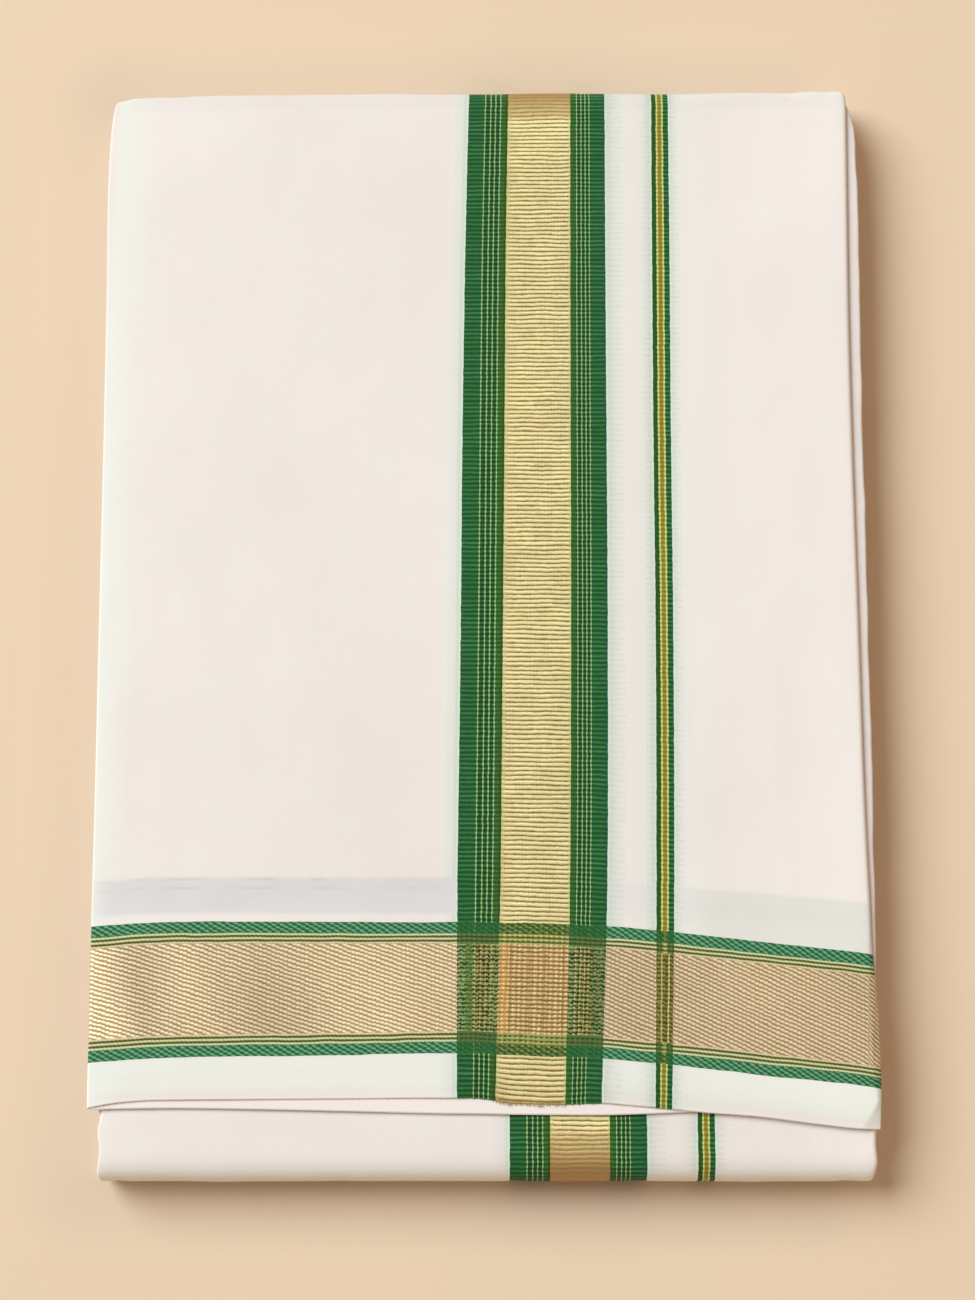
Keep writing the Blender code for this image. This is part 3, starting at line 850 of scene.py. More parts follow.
def side_border(r, w, folds):
    """Ribbed green and gold warp of the border and the narrow stripe."""
    u = w.u
    green = r.mix(w.ribbed, GREEN_DARK, GREEN)
    green = r.mix((w.rib ** 3.0) * w.rib_luck * 0.7, green, GREEN_LIGHT)
    warm = r.mix(w.ribbed, GREEN_WARM_DARK, GREEN_WARM)
    green = r.mix(within_any(u, BESIDE_ZARI) * 0.7, green, warm)
    green = r.mix(within(u, ZARI_SEAM) * 0.7, green, GREEN_SEAM)
    teal = within(u, TEAL_EDGE) * w.patches(TEAL_PATCHES)
    green = r.mix(teal * 0.5, green, GREEN_TEAL)
    green = r.mix(w.between_dots * ((1.0 - w.rib) * 0.85).maximum(0.3), green, GREEN_BLACK)
    green = r.mix(w.dots, green, r.mix(w.ribbed, DOT_DIM, DOT_YARN))

    thick = (w.rib ** 0.55) * 1.42 - 0.16
    gold = r.mix(thick + w.grain * 0.3, GOLD_DARK, GOLD_LIGHT)
    red = within(u, RED_COLUMN) * 0.15
    red = red.maximum(w.patches(RED_PATCHES) * 0.35)
    gold = r.mix(red * (w.fine * 1.6).clamped(), gold, GOLD_RED)
    gold = r.mix(within_any(u, ZARI_RIMS) * 0.6, gold, GOLD_EDGE)
    warp_line = ridge(u, ZARI_WARP_PITCH, 4.0) * w.patches(WARP_PATCHES)
    gold = r.scale_colour(gold, w.rib_luck * 0.16 + 0.93 + (w.fine - 0.5) * 0.20 - warp_line * 0.14)
    # painted sheen towards the far fold
    gold = r.scale_colour(gold, folds.past_far.rise(-GLEAM, GLEAM) * 0.13 + 1.0)
    # painted shade where the gold goes over the folds
    gold = r.mix(gold_shade_over_folds(folds), gold, GOLD_FOLD_SHADE)
    # fraying at the cut end, with a painted shadow under the frays
    frayed_shadow = (1.0 - w.v.rise(0.0, FRAYED)) * w.patches(FRAYED_SHADOW_PATCHES)
    gold = r.mix(frayed_shadow * 0.8, gold, GOLD_FRAYED_SHADOW)

    heart = r.mix(w.rib * 0.7 + w.grain, STRIPE_OLIVE, STRIPE_GOLD)
    sides = r.mix(within(u, STRIPE_SIDE) * 0.8, green, GREEN_WARM_DARK)
    narrow = r.mix(w.heart, sides, heart)
    narrow = r.mix(w.stripe_dots * (w.rib * 0.5 + 0.5), narrow, STRIPE_YELLOW)
    return r.mix(w.stripe, r.mix(w.zari, green, gold), narrow)


def end_band(r, w):
    """Gold twill of the weft band between its fine lines and green edges."""
    seam = ridge(w.u, TWILL_GROUP, 3.0)
    gold = r.ramp(w.twill_ridge * 1.05 + w.grain * 0.7 - seam * 0.14, TWILL_TONES)
    cloud = r.noise(w.across * 0.04 + w.along * 0.012, w.along * 0.03, 41.0, detail=1.0)
    # painted sheen across the band
    sheen = tint_across(r, w.across + (w.along - TWILL.low) * 0.25 - 5.0, BAND_SHEEN)
    gold = r.scale_colour(gold, sheen * 0.44 + 0.80 + (cloud - 0.5) * 0.22 + (w.fine - 0.5) * 0.14)
    edge = r.mix(w.edge_ridge + w.grain * 0.4, TWILL_GREEN_DARK, TWILL_GREEN_LIGHT)
    pale = r.mix(w.from_edge * 0.5 - 0.7, LINE_PALE, LINE_INNER)
    float_break = (1.0 - ridge(w.u + w.v * 0.6, TWILL_GROUP)) * 0.3
    line = r.mix(w.line_ridge * 1.6 - 0.25 - float_break + w.grain * 0.6, LINE_DARK, pale)
    return r.mix(w.lines, r.mix(w.edges, gold, edge), line)


def band_over_border(r, w):
    """Where the band crosses the border the two yarns show in turn, knot by knot."""
    bunch = w.patches(KNOT_PATCHES)
    knot = (w.row * w.file * 1.4 - 0.2 + w.grain).clamped()
    floats = w.row * 1.05 + w.file * 0.12 - 0.06 + w.grain * 0.8
    base = r.mix(floats, CROSS_GOLD_LOW, CROSS_GOLD)
    base = r.mix((w.patch * 3.0 - 1.3).clamped() * w.row * 0.5, base, CROSS_GOLD_WARM)
    broken = w.patches(CROSS_RED_PATCHES)
    base = r.mix(within(w.u, RED_COLUMN) * broken * 0.5, base, CROSS_RED)
    gold = r.mix(knot * bunch * (w.file_luck * 0.5 + 0.35), base, CROSS_GOLD_KNOT)
    gold = r.mix(line_mask(w.u, DARK_COLUMNS, 0.25) * 0.5, gold, CROSS_GOLD_LOW)

    zigzag = ((w.u / CHEVRON_WIDTH).fraction() - 0.5).absolute() * 0.8
    chevron = ridge(w.v + zigzag + w.sway(CHEVRON_SWAY) + (w.fine - 0.5) * 1.2, CROSS_ROW)
    olive = tint_across(r, w.u, CROSS_OLIVE_TINT)
    strokes = r.mix(olive, CROSS_GREEN, CROSS_OLIVE)
    green = r.mix(chevron * 1.3 - 0.19 + w.grain * 1.6, CROSS_GREEN_LOW, strokes)
    green = r.mix(within(w.u, PURE_COLUMN) * 0.5, green, GREEN_WARM)
    green = r.mix(within(w.u, DEEP_COLUMNS) * 0.22, green, CROSS_GREEN_LOW)
    green = r.mix(w.dots * (w.row * 1.5 - 0.25).clamped() * 0.85, green, CROSS_BEIGE)
    black = line_mask(w.u, BLACK_COLUMNS, 0.32) * (bunch * 0.5 + 0.5)
    green = r.mix(black * (1.0 - w.row) * 0.9, green, CROSS_BLACK)

    ribs = (chevron * 0.9 + w.grain * 1.5).clamped()
    sides = r.mix(ribs * 0.8, CROSS_STRIPE_DEEP, CROSS_OLIVE)
    threads = line_mask(w.u, CROSS_STRIPE_DOTS, 0.28) * (w.row * 0.6 + 0.4)
    narrow = r.mix(threads, sides, CROSS_LINE_KNOT)
    crossing = r.mix(w.stripe, r.mix(w.zari, green, gold), narrow)

    bright = w.zari.maximum(w.heart)
    pale = w.line_ridge * 0.70 + knot * 0.35 + w.grain - 0.06
    line = r.mix(pale, CROSS_LINE_LOW, CROSS_LINE_KNOT)
    line = r.mix((1.0 - bright) * 0.75, line, GREEN_DARK)
    flecks = w.edge_ridge * 0.12 + w.grain * 0.4 + w.dots * knot * 0.5
    deep = r.mix(flecks, CROSS_DEEP, CROSS_GREEN)
    strand = w.edge_ridge * 0.55 + knot * 0.40 + w.grain * 0.6 - 0.15
    deep = r.mix(bright * 0.6, deep, r.mix(strand, CROSS_LINE_LOW, CROSS_LINE_KNOT))
    return r.mix(w.edges, r.mix(w.lines, crossing, line), deep)


Folds = namedtuple("Folds", "past_far before_near")


def fold_places(along, rows):
    """How far a place lies past the start of the far fold, and before the end of the near one."""
    far_start = max(row.along for row in rows if row.kind == "front") / MM
    near_end = max(row.along for row in rows if row.kind == "near") / MM
    return Folds(along - far_start, near_end - along)


def gold_shade_over_folds(folds):
    """How much painted shade darkens the gold where it goes over the far fold and the near one."""
    far_fold_shade, near_fold_shading = (
        within(past, GOLD_ROUND_FOLD) * (past.rise(0.0, 2.0) * 0.35 + past.rise(0.0, 14.0) * 0.60)
        for past in (folds.past_far + FAR_TURN, folds.before_near + NEAR_TURN)
    )
    return far_fold_shade + near_fold_shading


def woven_cloth(rows):
    """The whole woven design, laid out on the cloth's own map in millimetres."""
    r = Recipe("woven_cloth")
    w = Weave(r)
    folds = fold_places(w.along, rows)
    plain = r.mix(w.band, plain_cotton(r, w, folds), end_band(r, w))
    pattern = r.mix(w.band, side_border(r, w, folds), band_over_border(r, w))
    colour = r.mix(w.coloured, plain, pattern)

    bare = 1.0 - w.band
    gold = (w.zari.maximum(w.heart) * (bare * 0.5 + 0.5)).maximum(w.twill * (1.0 - w.coloured))
    dyed = w.coloured.maximum(w.band)
    roughness = 0.9 - gold * 0.45 - (dyed - gold).maximum(0.0) * 0.12
    ground = (w.slub - 0.5) * 0.05 + (w.warp_slub - 0.5) * 0.025 + (w.fine - 0.5) * 0.02 - w.tick * 0.06
    ribbed = w.rib * w.coloured * bare * 0.14
    banded = w.twill_ridge * w.twill + w.edge_ridge * w.edges + w.line_ridge * w.lines
    crossed = w.row * w.file * w.coloured * w.band * 0.14
    height = ground + ribbed + banded * (1.0 - w.coloured) * 0.12 + crossed
    fixed = {"Sheen Weight": 0.08, "Sheen Roughness": 0.5, "Specular IOR Level": 0.2}
    return r.finish(colour, roughness, metallic=gold * 0.5, height=height, fixed=fixed)


def folded_cotton():
    """Plain cotton where only folded edges show."""
    r = Recipe("folded_cotton")
    x, y, z = r.axes(r.object_place(), 3)
    fine = r.noise(y * 2.5, z * 2.5, x * 2.5, detail=3.0)
    weft = r.noise(y * 3.0, z * 0.6, 2.0)
    cloud = r.noise(y * 0.03, z * 0.5, 6.0)
    colour = r.mix(cloud * 1.6 - 0.3, COTTON, COTTON_SHADE)
    colour = r.scale_colour(colour, (weft - 0.5) * 0.12 + (fine - 0.5) * 0.08 + 0.98)
    height = (weft - 0.5) * 0.06 + (fine - 0.5) * 0.03
    fixed = {"Sheen Weight": 0.12, "Sheen Roughness": 0.45, "Specular IOR Level": 0.25}
    return r.finish(colour, roughness=0.88, metallic=0.0, height=height, fixed=fixed)


def yarn_finish(name, light, dark, metallic):
    r = Recipe(name)
    x, y = r.axes(r.object_place(), 2)
    twist = r.noise(x * 4.0, y * 4.0, 1.0)
    colour = r.mix(twist * 1.6 - 0.3, light, dark)
    fixed = {"Sheen Weight": 0.1, "Sheen Roughness": 0.5, "Specular IOR Level": 0.3}
    return r.finish(colour, roughness=0.7, metallic=metallic, height=twist * 0.03, fixed=fixed)


# ==== the outer ply: one sheet from the free end round the pack and back under the leaf =
FRONT_COLUMNS = 76
PLY_COLUMNS = 34
CRISP = np.array((0.0006, 0.0015))    # extra columns beside a fold keep its shading narrow
FOLD_POINTS = 9
STUB_POINTS = 4
STUB = 0.010
FRONT_ROW_STEP = 0.0030
UNDER_ROW_STEP = 0.0070
ARC_ROWS = 18
TUCK_LENGTH = 0.034
UNDER_BLEND_Y = -0.100          # from here on the underside narrows to the lower outline
UNDER_BLEND = 0.080
LEFT_X = -0.152                 # where the leaf's side folds lie, near enough to read the bow there
RIGHT_X = 0.150
LEFT_ROLL = 0.0006              # how far the front rolls down into its side folds
LEFT_ROLL_REACH = 0.0050
RIGHT_ROLL = 0.0004
RIGHT_ROLL_REACH = 0.0020
RELIEF_EDGE = 0.006             # relief fades out this far from the side folds
PUCKER_EDGE = 0.004             # and this far above the floor
FACET_FLATNESS = 0.9
EASE = 0.25                     # share of the columns' spacing that follows a sine, closer at the folds
SECOND_PLY_WIDTH = 0.93         # share of the row that the second ply reaches across
FINE_ROWS = (0.0, 0.0006, 0.0014, 0.0026, 0.0042, 0.0062)
FIRST_EVEN_ROW = 0.0085         # the other rows stand evenly from here on

SOFT_WAVES = table("size x1 y1 shift1 x2 y2 shift2", (
    (0.10, 61, 23, 0.7, -11, 37, 1.9),
    (0.07, 118, -41, 2.1, 29, 83, 0.0),
    (0.04, 205, 133, 0.3, -90, 171, 4.0),
))
CREASE_FADE = 4                 # a crease fades out past its ends over so many times its width
TUCK_WAVES = 0.5                # the tucked cloth is flatter than the front
LEAST_PUCKER = 0.35             # share of a pucker that reaches the faces beside the fold
UPPER_SAG, SECOND_SAG = table("depth reach", ((0.0009, 0.0050), (0.0008, 0.0100)))

Row = namedtuple("Row", "along kind y z inward_y inward_z")
Section = namedtuple("Section", "x depth share across relief")


def front_rows():
    """Rows of the front, closest together at its free end."""
    reach = TOP_CENTRE_Y - FREE_END_Y
    steps = int((reach - FIRST_EVEN_ROW) / FRONT_ROW_STEP)
    alongs = (*FINE_ROWS, *np.linspace(FIRST_EVEN_ROW, reach, steps))
    return [Row(along, "front", FREE_END_Y + along, THICKNESS, 0.0, -1.0) for along in alongs]


def arc_rows(kind, start, centre_y, radius, first_degrees, last_degrees):
    """Rows round one end of the pack, from one angle to another."""
    rows = []
    along = start
    before = fold_profile(math.radians(first_degrees))[0]
    for angle in np.radians(np.linspace(first_degrees, last_degrees, ARC_ROWS + 1)[1:]):
        point, out = fold_profile(angle)
        along += radius * math.dist(point, before)
        before = point
        y = centre_y + radius * point[0]
        rows.append(Row(along, kind, y, radius + radius * point[1], -out[0], -out[1]))
    return rows


def flat_rows(kind, start, first_y, last_y, z, inward_z, step):
    """Rows straight along the pack at one height."""
    count = max(2, int(abs(last_y - first_y) / step))
    ys = np.linspace(first_y, last_y, count + 1)[1:]
    return [Row(start + abs(y - first_y), kind, y, z, 0.0, inward_z) for y in ys]


def cloth_rows():
    """All rows of the sheet, from its free end to where it is tucked in."""
    rows = front_rows()
    rows += arc_rows("top", rows[-1].along, TOP_CENTRE_Y, TOP_RADIUS, 90, -90)
    rows += flat_rows("under", rows[-1].along, TOP_CENTRE_Y, NEAR_CENTRE_Y, 0.0, 1.0, UNDER_ROW_STEP)
    rows += arc_rows("near", rows[-1].along, NEAR_CENTRE_Y, NEAR_RADIUS, 270, 90)
    rows += flat_rows("tuck", rows[-1].along, NEAR_CENTRE_Y, NEAR_CENTRE_Y + TUCK_LENGTH,
                      BODY_THICKNESS, -1.0, FRONT_ROW_STEP)
    return rows


def bow(x, along, share):
    """How far a weft yarn lies from straight across, upper ply (share 0) to second (1)."""
    upper = column(FREE_END, "x", "ply_y", x) - FREE_END_Y
    second = column(FREE_END, "x", "second_ply_y", x) - FREE_END_Y
    low = column(BAND_WEFTS, "x", "low", x)
    high = column(BAND_WEFTS, "x", "high", x)
    keys = [0.0, LOW_WEFT, HIGH_WEFT] + [place.along for place in STRAIGHTENING]
    lines = [upper, low, high] + [high * place.kept for place in STRAIGHTENING]
    shifts = [np.interp(along, keys, np.eye(len(keys))[index]) * line for index, line in enumerate(lines)]
    fade = max(0.0, 1 - along / LOW_WEFT)
    return sum(shifts) + share * (second - upper) * fade


def eased(share):
    """From 0 to 1 with a soft start and a soft end."""
    share = min(1.0, max(0.0, share))
    return share * share * (3 - 2 * share)


def mark_places(row, last_along):
    """x of each woven mark at one row."""
    if row.kind == "front":
        return [smooth_read(MARK_STATIONS, mark[1:-1], row.y) for mark in MARKS]
    reach = TOP_CENTRE_Y - FREE_END_Y
    share = (row.along - reach) / (last_along - NEAR_RADIUS - TUCK_LENGTH - reach)
    share = eased(share)
    return [mark.far + share * (mark.near - mark.far) for mark in MARKS]


def cloth_across(x, marks):
    """Cloth millimetres across at x: straight between the marks, true beyond them."""
    units = [mark.across for mark in MARKS]
    value = np.interp(x, marks, units)
    value = np.where(x < marks[0], units[0] + (x - marks[0]) / MM, value)
    return np.where(x > marks[-1], units[-1] + (x - marks[-1]) / MM, value)


def shoulder(row):
    """Width of the right fold, and how much of it is a flat facet."""
    y = row.y + float(bow(RIGHT_X, row.along, 0.0)) if row.kind == "front" else SHOULDER[0].y
    ys, widths, facets = zip(*reversed(SHOULDER))
    return float(np.interp(y, ys, widths)), float(np.interp(y, ys, facets))


def sides(row):
    """x of the left and right edges of one row."""
    below = 0.0
    left_y = row.y
    right_y = row.y
    if row.kind == "front":
        left_y += float(bow(LEFT_X, row.along, 0.0))
        right_y += float(bow(RIGHT_X, row.along, 0.0))
    elif row.kind == "under":
        below = min(1.0, max(0.0, (UNDER_BLEND_Y - row.y) / UNDER_BLEND))
    elif row.kind in ("near", "tuck"):
        below = 1.0
    left = float(column(OUTLINE, "y", "leaf_left", left_y))
    right = float(column(OUTLINE, "y", "leaf_right", right_y))
    if below > 0.0:
        left += below * (float(column(LOWER_OUTLINE, "y", "left", row.y)) - left)
        right += below * (float(column(LOWER_OUTLINE, "y", "right", row.y)) - right)
    return left, right


def front_columns(first, last):
    """x of the front's columns, from the right fold to the left, closer together at both."""
    columns = np.linspace(first, last, FRONT_COLUMNS)
    middle = columns.mean()
    half = columns[0] - middle
    eased = half * np.sin((columns - middle) / half * math.pi / 2)
    columns = middle + eased * EASE + (columns - middle) * (1 - EASE)
    beside_right = columns[0] - CRISP
    beside_left = columns[-1] + CRISP[::-1]
    return np.concatenate((columns[:1], beside_right, columns[1:-1], beside_left, columns[-1:]))


def cross_section(row, marks):
    """Across one row: stub under the right fold, right fold, front, left fold, second ply.

    The section's columns: x, depth under the outer face, share on the second ply,
    cloth millimetres across, and how much of the relief applies.
    """
    left, right = sides(row)
    width, facet = shoulder(row)
    small = PAIR / 2
    large = STRIP / 2
    points = []
    flat_right = right - width
    across_right = float(cloth_across(flat_right, marks))
    for step in range(STUB_POINTS):
        x = right - width - STUB * (1 - step / STUB_POINTS)
        gone = math.pi * large + (flat_right - x)
        points.append((x, STRIP, 0.0, across_right + gone / MM, 0.0))
    for step in range(FOLD_POINTS + 1):
        turn = math.pi * (1 - step / (FOLD_POINTS + 1))
        out = math.sin(turn)
        down = 1 - math.cos(turn)
        if turn < math.pi / 2:
            down += facet * (out - down) * FACET_FLATNESS
        points.append((flat_right + width * out, large * down, 0.0, across_right + large * turn / MM, 0.0))
    for x in front_columns(flat_right, left + small):
        points.append((x, 0.0, 0.0, float(cloth_across(x, marks)), 1.0))
    across_left = float(cloth_across(left + small, marks))
    for step in range(1, FOLD_POINTS + 1):
        turn = math.pi * step / (FOLD_POINTS + 1)
        share = 0.5 - 0.5 * math.cos(turn)
        points.append((left + small - small * math.sin(turn), small - small * math.cos(turn), share,
                       across_left - small * turn / MM, 0.0))
    reach = (right - left) * SECOND_PLY_WIDTH if row.kind == "front" else STUB
    for x in np.linspace(left + small, left + small + reach, PLY_COLUMNS):
        gone = math.pi * small + (x - left - small)
        points.append((x, PAIR, 1.0, across_left - gone / MM, 0.0))
    return Section(*np.array(points).T), left, right


def crease_relief(x, y):
    """Outward relief of the front from its listed creases."""
    relief = np.zeros_like(x)
    for crease in CREASES:
        run_x = crease.x1 - crease.x0
        run_y = crease.y1 - crease.y0
        length = math.hypot(run_x, run_y)
        along = ((x - crease.x0) * run_x + (y - crease.y0) * run_y) / length
        beside = ((x - crease.x0) * run_y - (y - crease.y0) * run_x) / length
        past = np.maximum(np.maximum(-along, along - length), 0.0)
        fade = CREASE_FADE * crease.width
        relief -= crease.depth * np.exp(-(beside / crease.width) ** 2 - (past / fade) ** 2)
    return relief


def soft_waves(x, y):
    """Slight unevenness of pressed cloth: long low waves, each the product of two."""
    total = np.zeros_like(x)
    for wave in SOFT_WAVES:
        first = np.sin(x * wave.x1 + y * wave.y1 + wave.shift1)
        second = np.sin(x * wave.x2 + y * wave.y2 + wave.shift2)
        total += wave.size * first * second
    return total * MM


def pucker_relief(x, puckers):
    """Outward relief of a rounded end from its creases."""
    relief = np.zeros_like(x)
    for pucker in puckers:
        relief -= pucker.depth * np.exp(-((x - pucker.x) / pucker.width) ** 2)
    return relief


def end_sag(along, share):
    """How far the plies' free ends settle onto what lies below, upper ply (share 0) to second (1)."""
    upper = UPPER_SAG.depth * math.exp(-(along / UPPER_SAG.reach) ** 2)
    second = SECOND_SAG.depth * math.exp(-(along / SECOND_SAG.reach) ** 2)
    return upper + share * (second - upper)


def row_points(row, section, left, right):
    """Points of one row: its section on the pack, with the relief that its kind of row has."""
    x = section.x
    y = row.y + section.depth * row.inward_y
    z = row.z + section.depth * row.inward_z
    inner = np.clip(np.minimum(x - left, right - x) / RELIEF_EDGE, 0.0, 1.0)
    if row.kind == "front":
        y += bow(x, row.along, section.share)
        relief = crease_relief(x, y) + soft_waves(x, y)
        z += relief * section.relief * inner - end_sag(row.along, section.share)
    elif row.kind == "tuck":
        z += (crease_relief(x, y) + soft_waves(x, y) * TUCK_WAVES) * section.relief * inner
    elif row.kind in ("top", "near"):
        puckers = TOP_PUCKERS if row.kind == "top" else NEAR_PUCKERS
        relief = pucker_relief(x, puckers) * section.relief * inner
        swell = max(0.0, 1 - abs(row.inward_z)) + LEAST_PUCKER
        low = np.clip(z / PUCKER_EDGE, 0.0, 1.0)
        y -= relief * row.inward_y * swell * low
        z -= relief * row.inward_z * swell * low
    if row.kind != "under":
        roll = LEFT_ROLL * np.exp(-np.maximum(x - left, 0.0) / LEFT_ROLL_REACH)
        roll += RIGHT_ROLL * np.exp(-np.maximum(right - x, 0.0) / RIGHT_ROLL_REACH)
        z -= roll * np.clip(z / THICKNESS, 0.0, 1.0) ** 2
    return np.stack((x, y, z), axis=-1)


def build_outer_cloth(material):
    """The sheet that runs all round the pack, with its own map in metres of cloth."""
    rows = cloth_rows()
    last_along = rows[-1].along
    points = []
    across = []
    for row in rows:
        marks = mark_places(row, last_along)
        section, left, right = cross_section(row, marks)
        points.append(row_points(row, section, left, right))
        across.append(section.across)
    points = settle(np.array(points))
    across = np.array(across)
    row_count, column_count = across.shape
    grid = np.arange(row_count * column_count).reshape(row_count, column_count)
    quads = np.stack((grid[:-1, :-1], grid[1:, :-1], grid[1:, 1:], grid[:-1, 1:]), axis=-1).reshape(-1, 4)
    mesh = bpy.data.meshes.new("outer_cloth")
    mesh.from_pydata(points.reshape(-1, 3).tolist(), [], quads.tolist())
    mesh.update()
    alongs = np.repeat(np.array([row.along for row in rows]), column_count)
    map_u = (across.reshape(-1) + UV_ORIGIN_MM) * MM
    uv = mesh.uv_layers.new(name="cloth")
    corners = quads.reshape(-1)
    uv.data.foreach_set("uv", np.stack((map_u[corners], alongs[corners]), axis=-1).reshape(-1))
    mesh.materials.append(material)
    mesh.shade_smooth()
    return wall_inwards(linked("outer_cloth", mesh))


# ==== folded edges of the hidden layers, swept along the flat spiral of the roll ========
EDGE_INSETS = table("stretch left_first left_second right", (
    (0, 0.0, 0.9, 0.0),
    (1, 0.2, 1.1, 0.6),
    (2, 0.9, 0.5, 0.1),
    (3, 0.3, 1.3, 0.9),
    (4, 1.2, 0.4, 0.2),
    (5, 0.5, 1.0, 1.3),
    (6, 0.2, 1.1, 0.7),
    (7, 1.0, 0.6, 0.8),
))
WOBBLES = table("wavelength size", ((0.31, 1.0), (0.137, 0.8), (0.061, 0.5), (0.027, 0.3)))
EDGE_WOBBLE = 0.35 * MM
EDGE_STEP = 0.006
EDGE_ARC_STEPS = 14
EDGE_REACH = 0.010
EDGE_CORNER_POINTS = 4          # to each rounded corner of a folded edge
TUCK_START_Y = NEAR_CENTRE_Y + TUCK_LENGTH + 0.001
FOLD_RUNS = table("name side insets first_stretch start_y level height roundness flat seed", (
    ("left_first_folds", "left", "left_first", 2, TUCK_START_Y, 0.25, 0.46 * INNER_PITCH, 0.49,
     (0.0210, 2.53), 11),
    ("left_second_folds", "left", "left_second", 0, FREE_END_Y + 0.004, 0.735, 0.45 * OUTER_PITCH, 0.49,
     (0.0210, 3.42), 12),
    ("right_folds", "right", "right", 2, TUCK_START_Y, 0.5, 0.93 * INNER_PITCH, 0.32,
     (0.0220, 2.53), 13),
))
HIDDEN_LEFT = -0.1435
HIDDEN_RIGHT = 0.1415
HIDDEN_STATIONS = 9
HIDDEN_ARC_POINTS = 13
HIDDEN_GAP = 0.2 * MM           # air between the hidden roll and the outermost stretch


def front_level(stretch):
    """z of the upper face of a stretch in front."""
    return THICKNESS if stretch == 0 else BODY_THICKNESS - INNER_PITCH * (stretch - 2) / 2


def under_level(stretch):
    """z of the lower face of a stretch below."""
    return 0.0 if stretch == 1 else OUTER_PITCH + INNER_PITCH * (stretch - 3) / 2


def fold_level(run, stretch):
    """z of a run's folds in one stretch: under its face in front, over it below."""
    depth = run.level * (OUTER_PITCH if stretch < 2 else INNER_PITCH)
    return front_level(stretch) - depth if stretch % 2 == 0 else under_level(stretch) + depth


def spiral(run):
    """Points (stretch, y, z) down the middle of a fold, from its first stretch to the last."""
    path = []
    for stretch in range(run.first_stretch, STRETCHES):
        front = stretch % 2 == 0
        level = fold_level(run, stretch)
        begin, end = (NEAR_CENTRE_Y, TOP_CENTRE_Y) if front else (TOP_CENTRE_Y, NEAR_CENTRE_Y)
        if stretch == run.first_stretch:
            begin = run.start_y
        count = int(abs(end - begin) / EDGE_STEP)
        path += [(stretch, y, level) for y in np.linspace(begin, end, count)]
        if stretch == STRETCHES - 1:
            break
        other = fold_level(run, stretch + 1)
        middle = (level + other) / 2
        radius = abs(level - other) / 2
        way = 1 if front else -1
        for step in range(1, EDGE_ARC_STEPS):
            point, _ = fold_profile(math.pi * (0.5 - step / EDGE_ARC_STEPS))
            path.append((stretch + step / EDGE_ARC_STEPS, end + way * radius * point[0],
                         middle + way * radius * point[1]))
    return np.array(path)


def wobble(path, seed):
    """Slow unevenness along a fold, the same each run."""
    length = np.concatenate(([0.0], np.cumsum(np.hypot(np.diff(path[:, 1]), np.diff(path[:, 2])))))
    rng = np.random.default_rng(seed)
    total = np.zeros(len(length))
    for wave in WOBBLES:
        total += wave.size * np.sin(2 * math.pi * length / wave.wavelength + rng.uniform(0, 2 * math.pi))
    return total * EDGE_WOBBLE


def fold_edge(side, path):
    """x of the pack's outline beside each point of a spiral path."""
    y = path[:, 1]
    stretch = path[:, 0]
    leaf = column(OUTLINE, "y", "leaf_" + side, y)
    stack = column(OUTLINE, "y", "stack_" + side, y)
    lower = column(LOWER_OUTLINE, "y", side, y)
    below = np.clip((UNDER_BLEND_Y - y) / UNDER_BLEND, 0.0, 1.0) * (stretch >= 1)
    outer = leaf + below * (lower - leaf)
    return outer + np.clip(stretch - 1, 0.0, 1.0) * (stack - outer)


def edge_line(run):
    """The line that a fold's outer face follows, as a mesh of edges."""
    path = spiral(run)
    stretches = [row.stretch for row in EDGE_INSETS]
    insets = [getattr(row, run.insets) * MM for row in EDGE_INSETS]
    inset = np.interp(path[:, 0], stretches, insets)
    sign = 1 if run.side == "left" else -1
    x = fold_edge(run.side, path) + sign * (inset + np.abs(wobble(path, run.seed)))
    points = settle(np.stack((x, path[:, 1], path[:, 2]), axis=-1))
    return bare_mesh(run.name, points, [(index, index + 1) for index in range(len(points) - 1)])


class GeometryTree:
    """A geometry tree in the making: it takes a mesh and the named values."""

    def __init__(self, name, inputs):
        self.tree = bpy.data.node_groups.new(name, "GeometryNodeTree")
        self.add_socket("Geometry", "Geometry")
        self.names = {title: self.add_socket(title, kind) for title, kind in inputs.items()}
        self.add_socket("Geometry", "Geometry", "OUTPUT")
        self.given = self.tree.nodes.new("NodeGroupInput").outputs

    def add_socket(self, title, kind, way="INPUT"):
        sockets = self.tree.interface
        return sockets.new_socket(name=title, in_out=way, socket_type="NodeSocket" + kind).identifier

    def node(self, kind, inputs, output=0, **settings):
        return add_node(self.tree, kind, settings, inputs, output)

    def product(self, first, second):
        return self.node("ShaderNodeMath", {0: first, 1: second}, operation="MULTIPLY")

    def close(self, geometry):
        """Give out the geometry in the given finish."""
        real = self.node("GeometryNodeRealizeInstances", {"Geometry": geometry})
        given = {"Geometry": real, "Material": self.given["Finish"]}
        self.node("NodeGroupOutput", {0: self.node("GeometryNodeSetMaterial", given)})
        return self

    def grow(self, obj, values):
        """Dress an object with the tree, its inputs set to the values."""
        nodes = obj.modifiers.new(self.tree.name, "NODES")
        nodes.node_group = self.tree
        for title, value in values.items():
            nodes[self.names[title]] = value
        return bake_modifiers(obj)


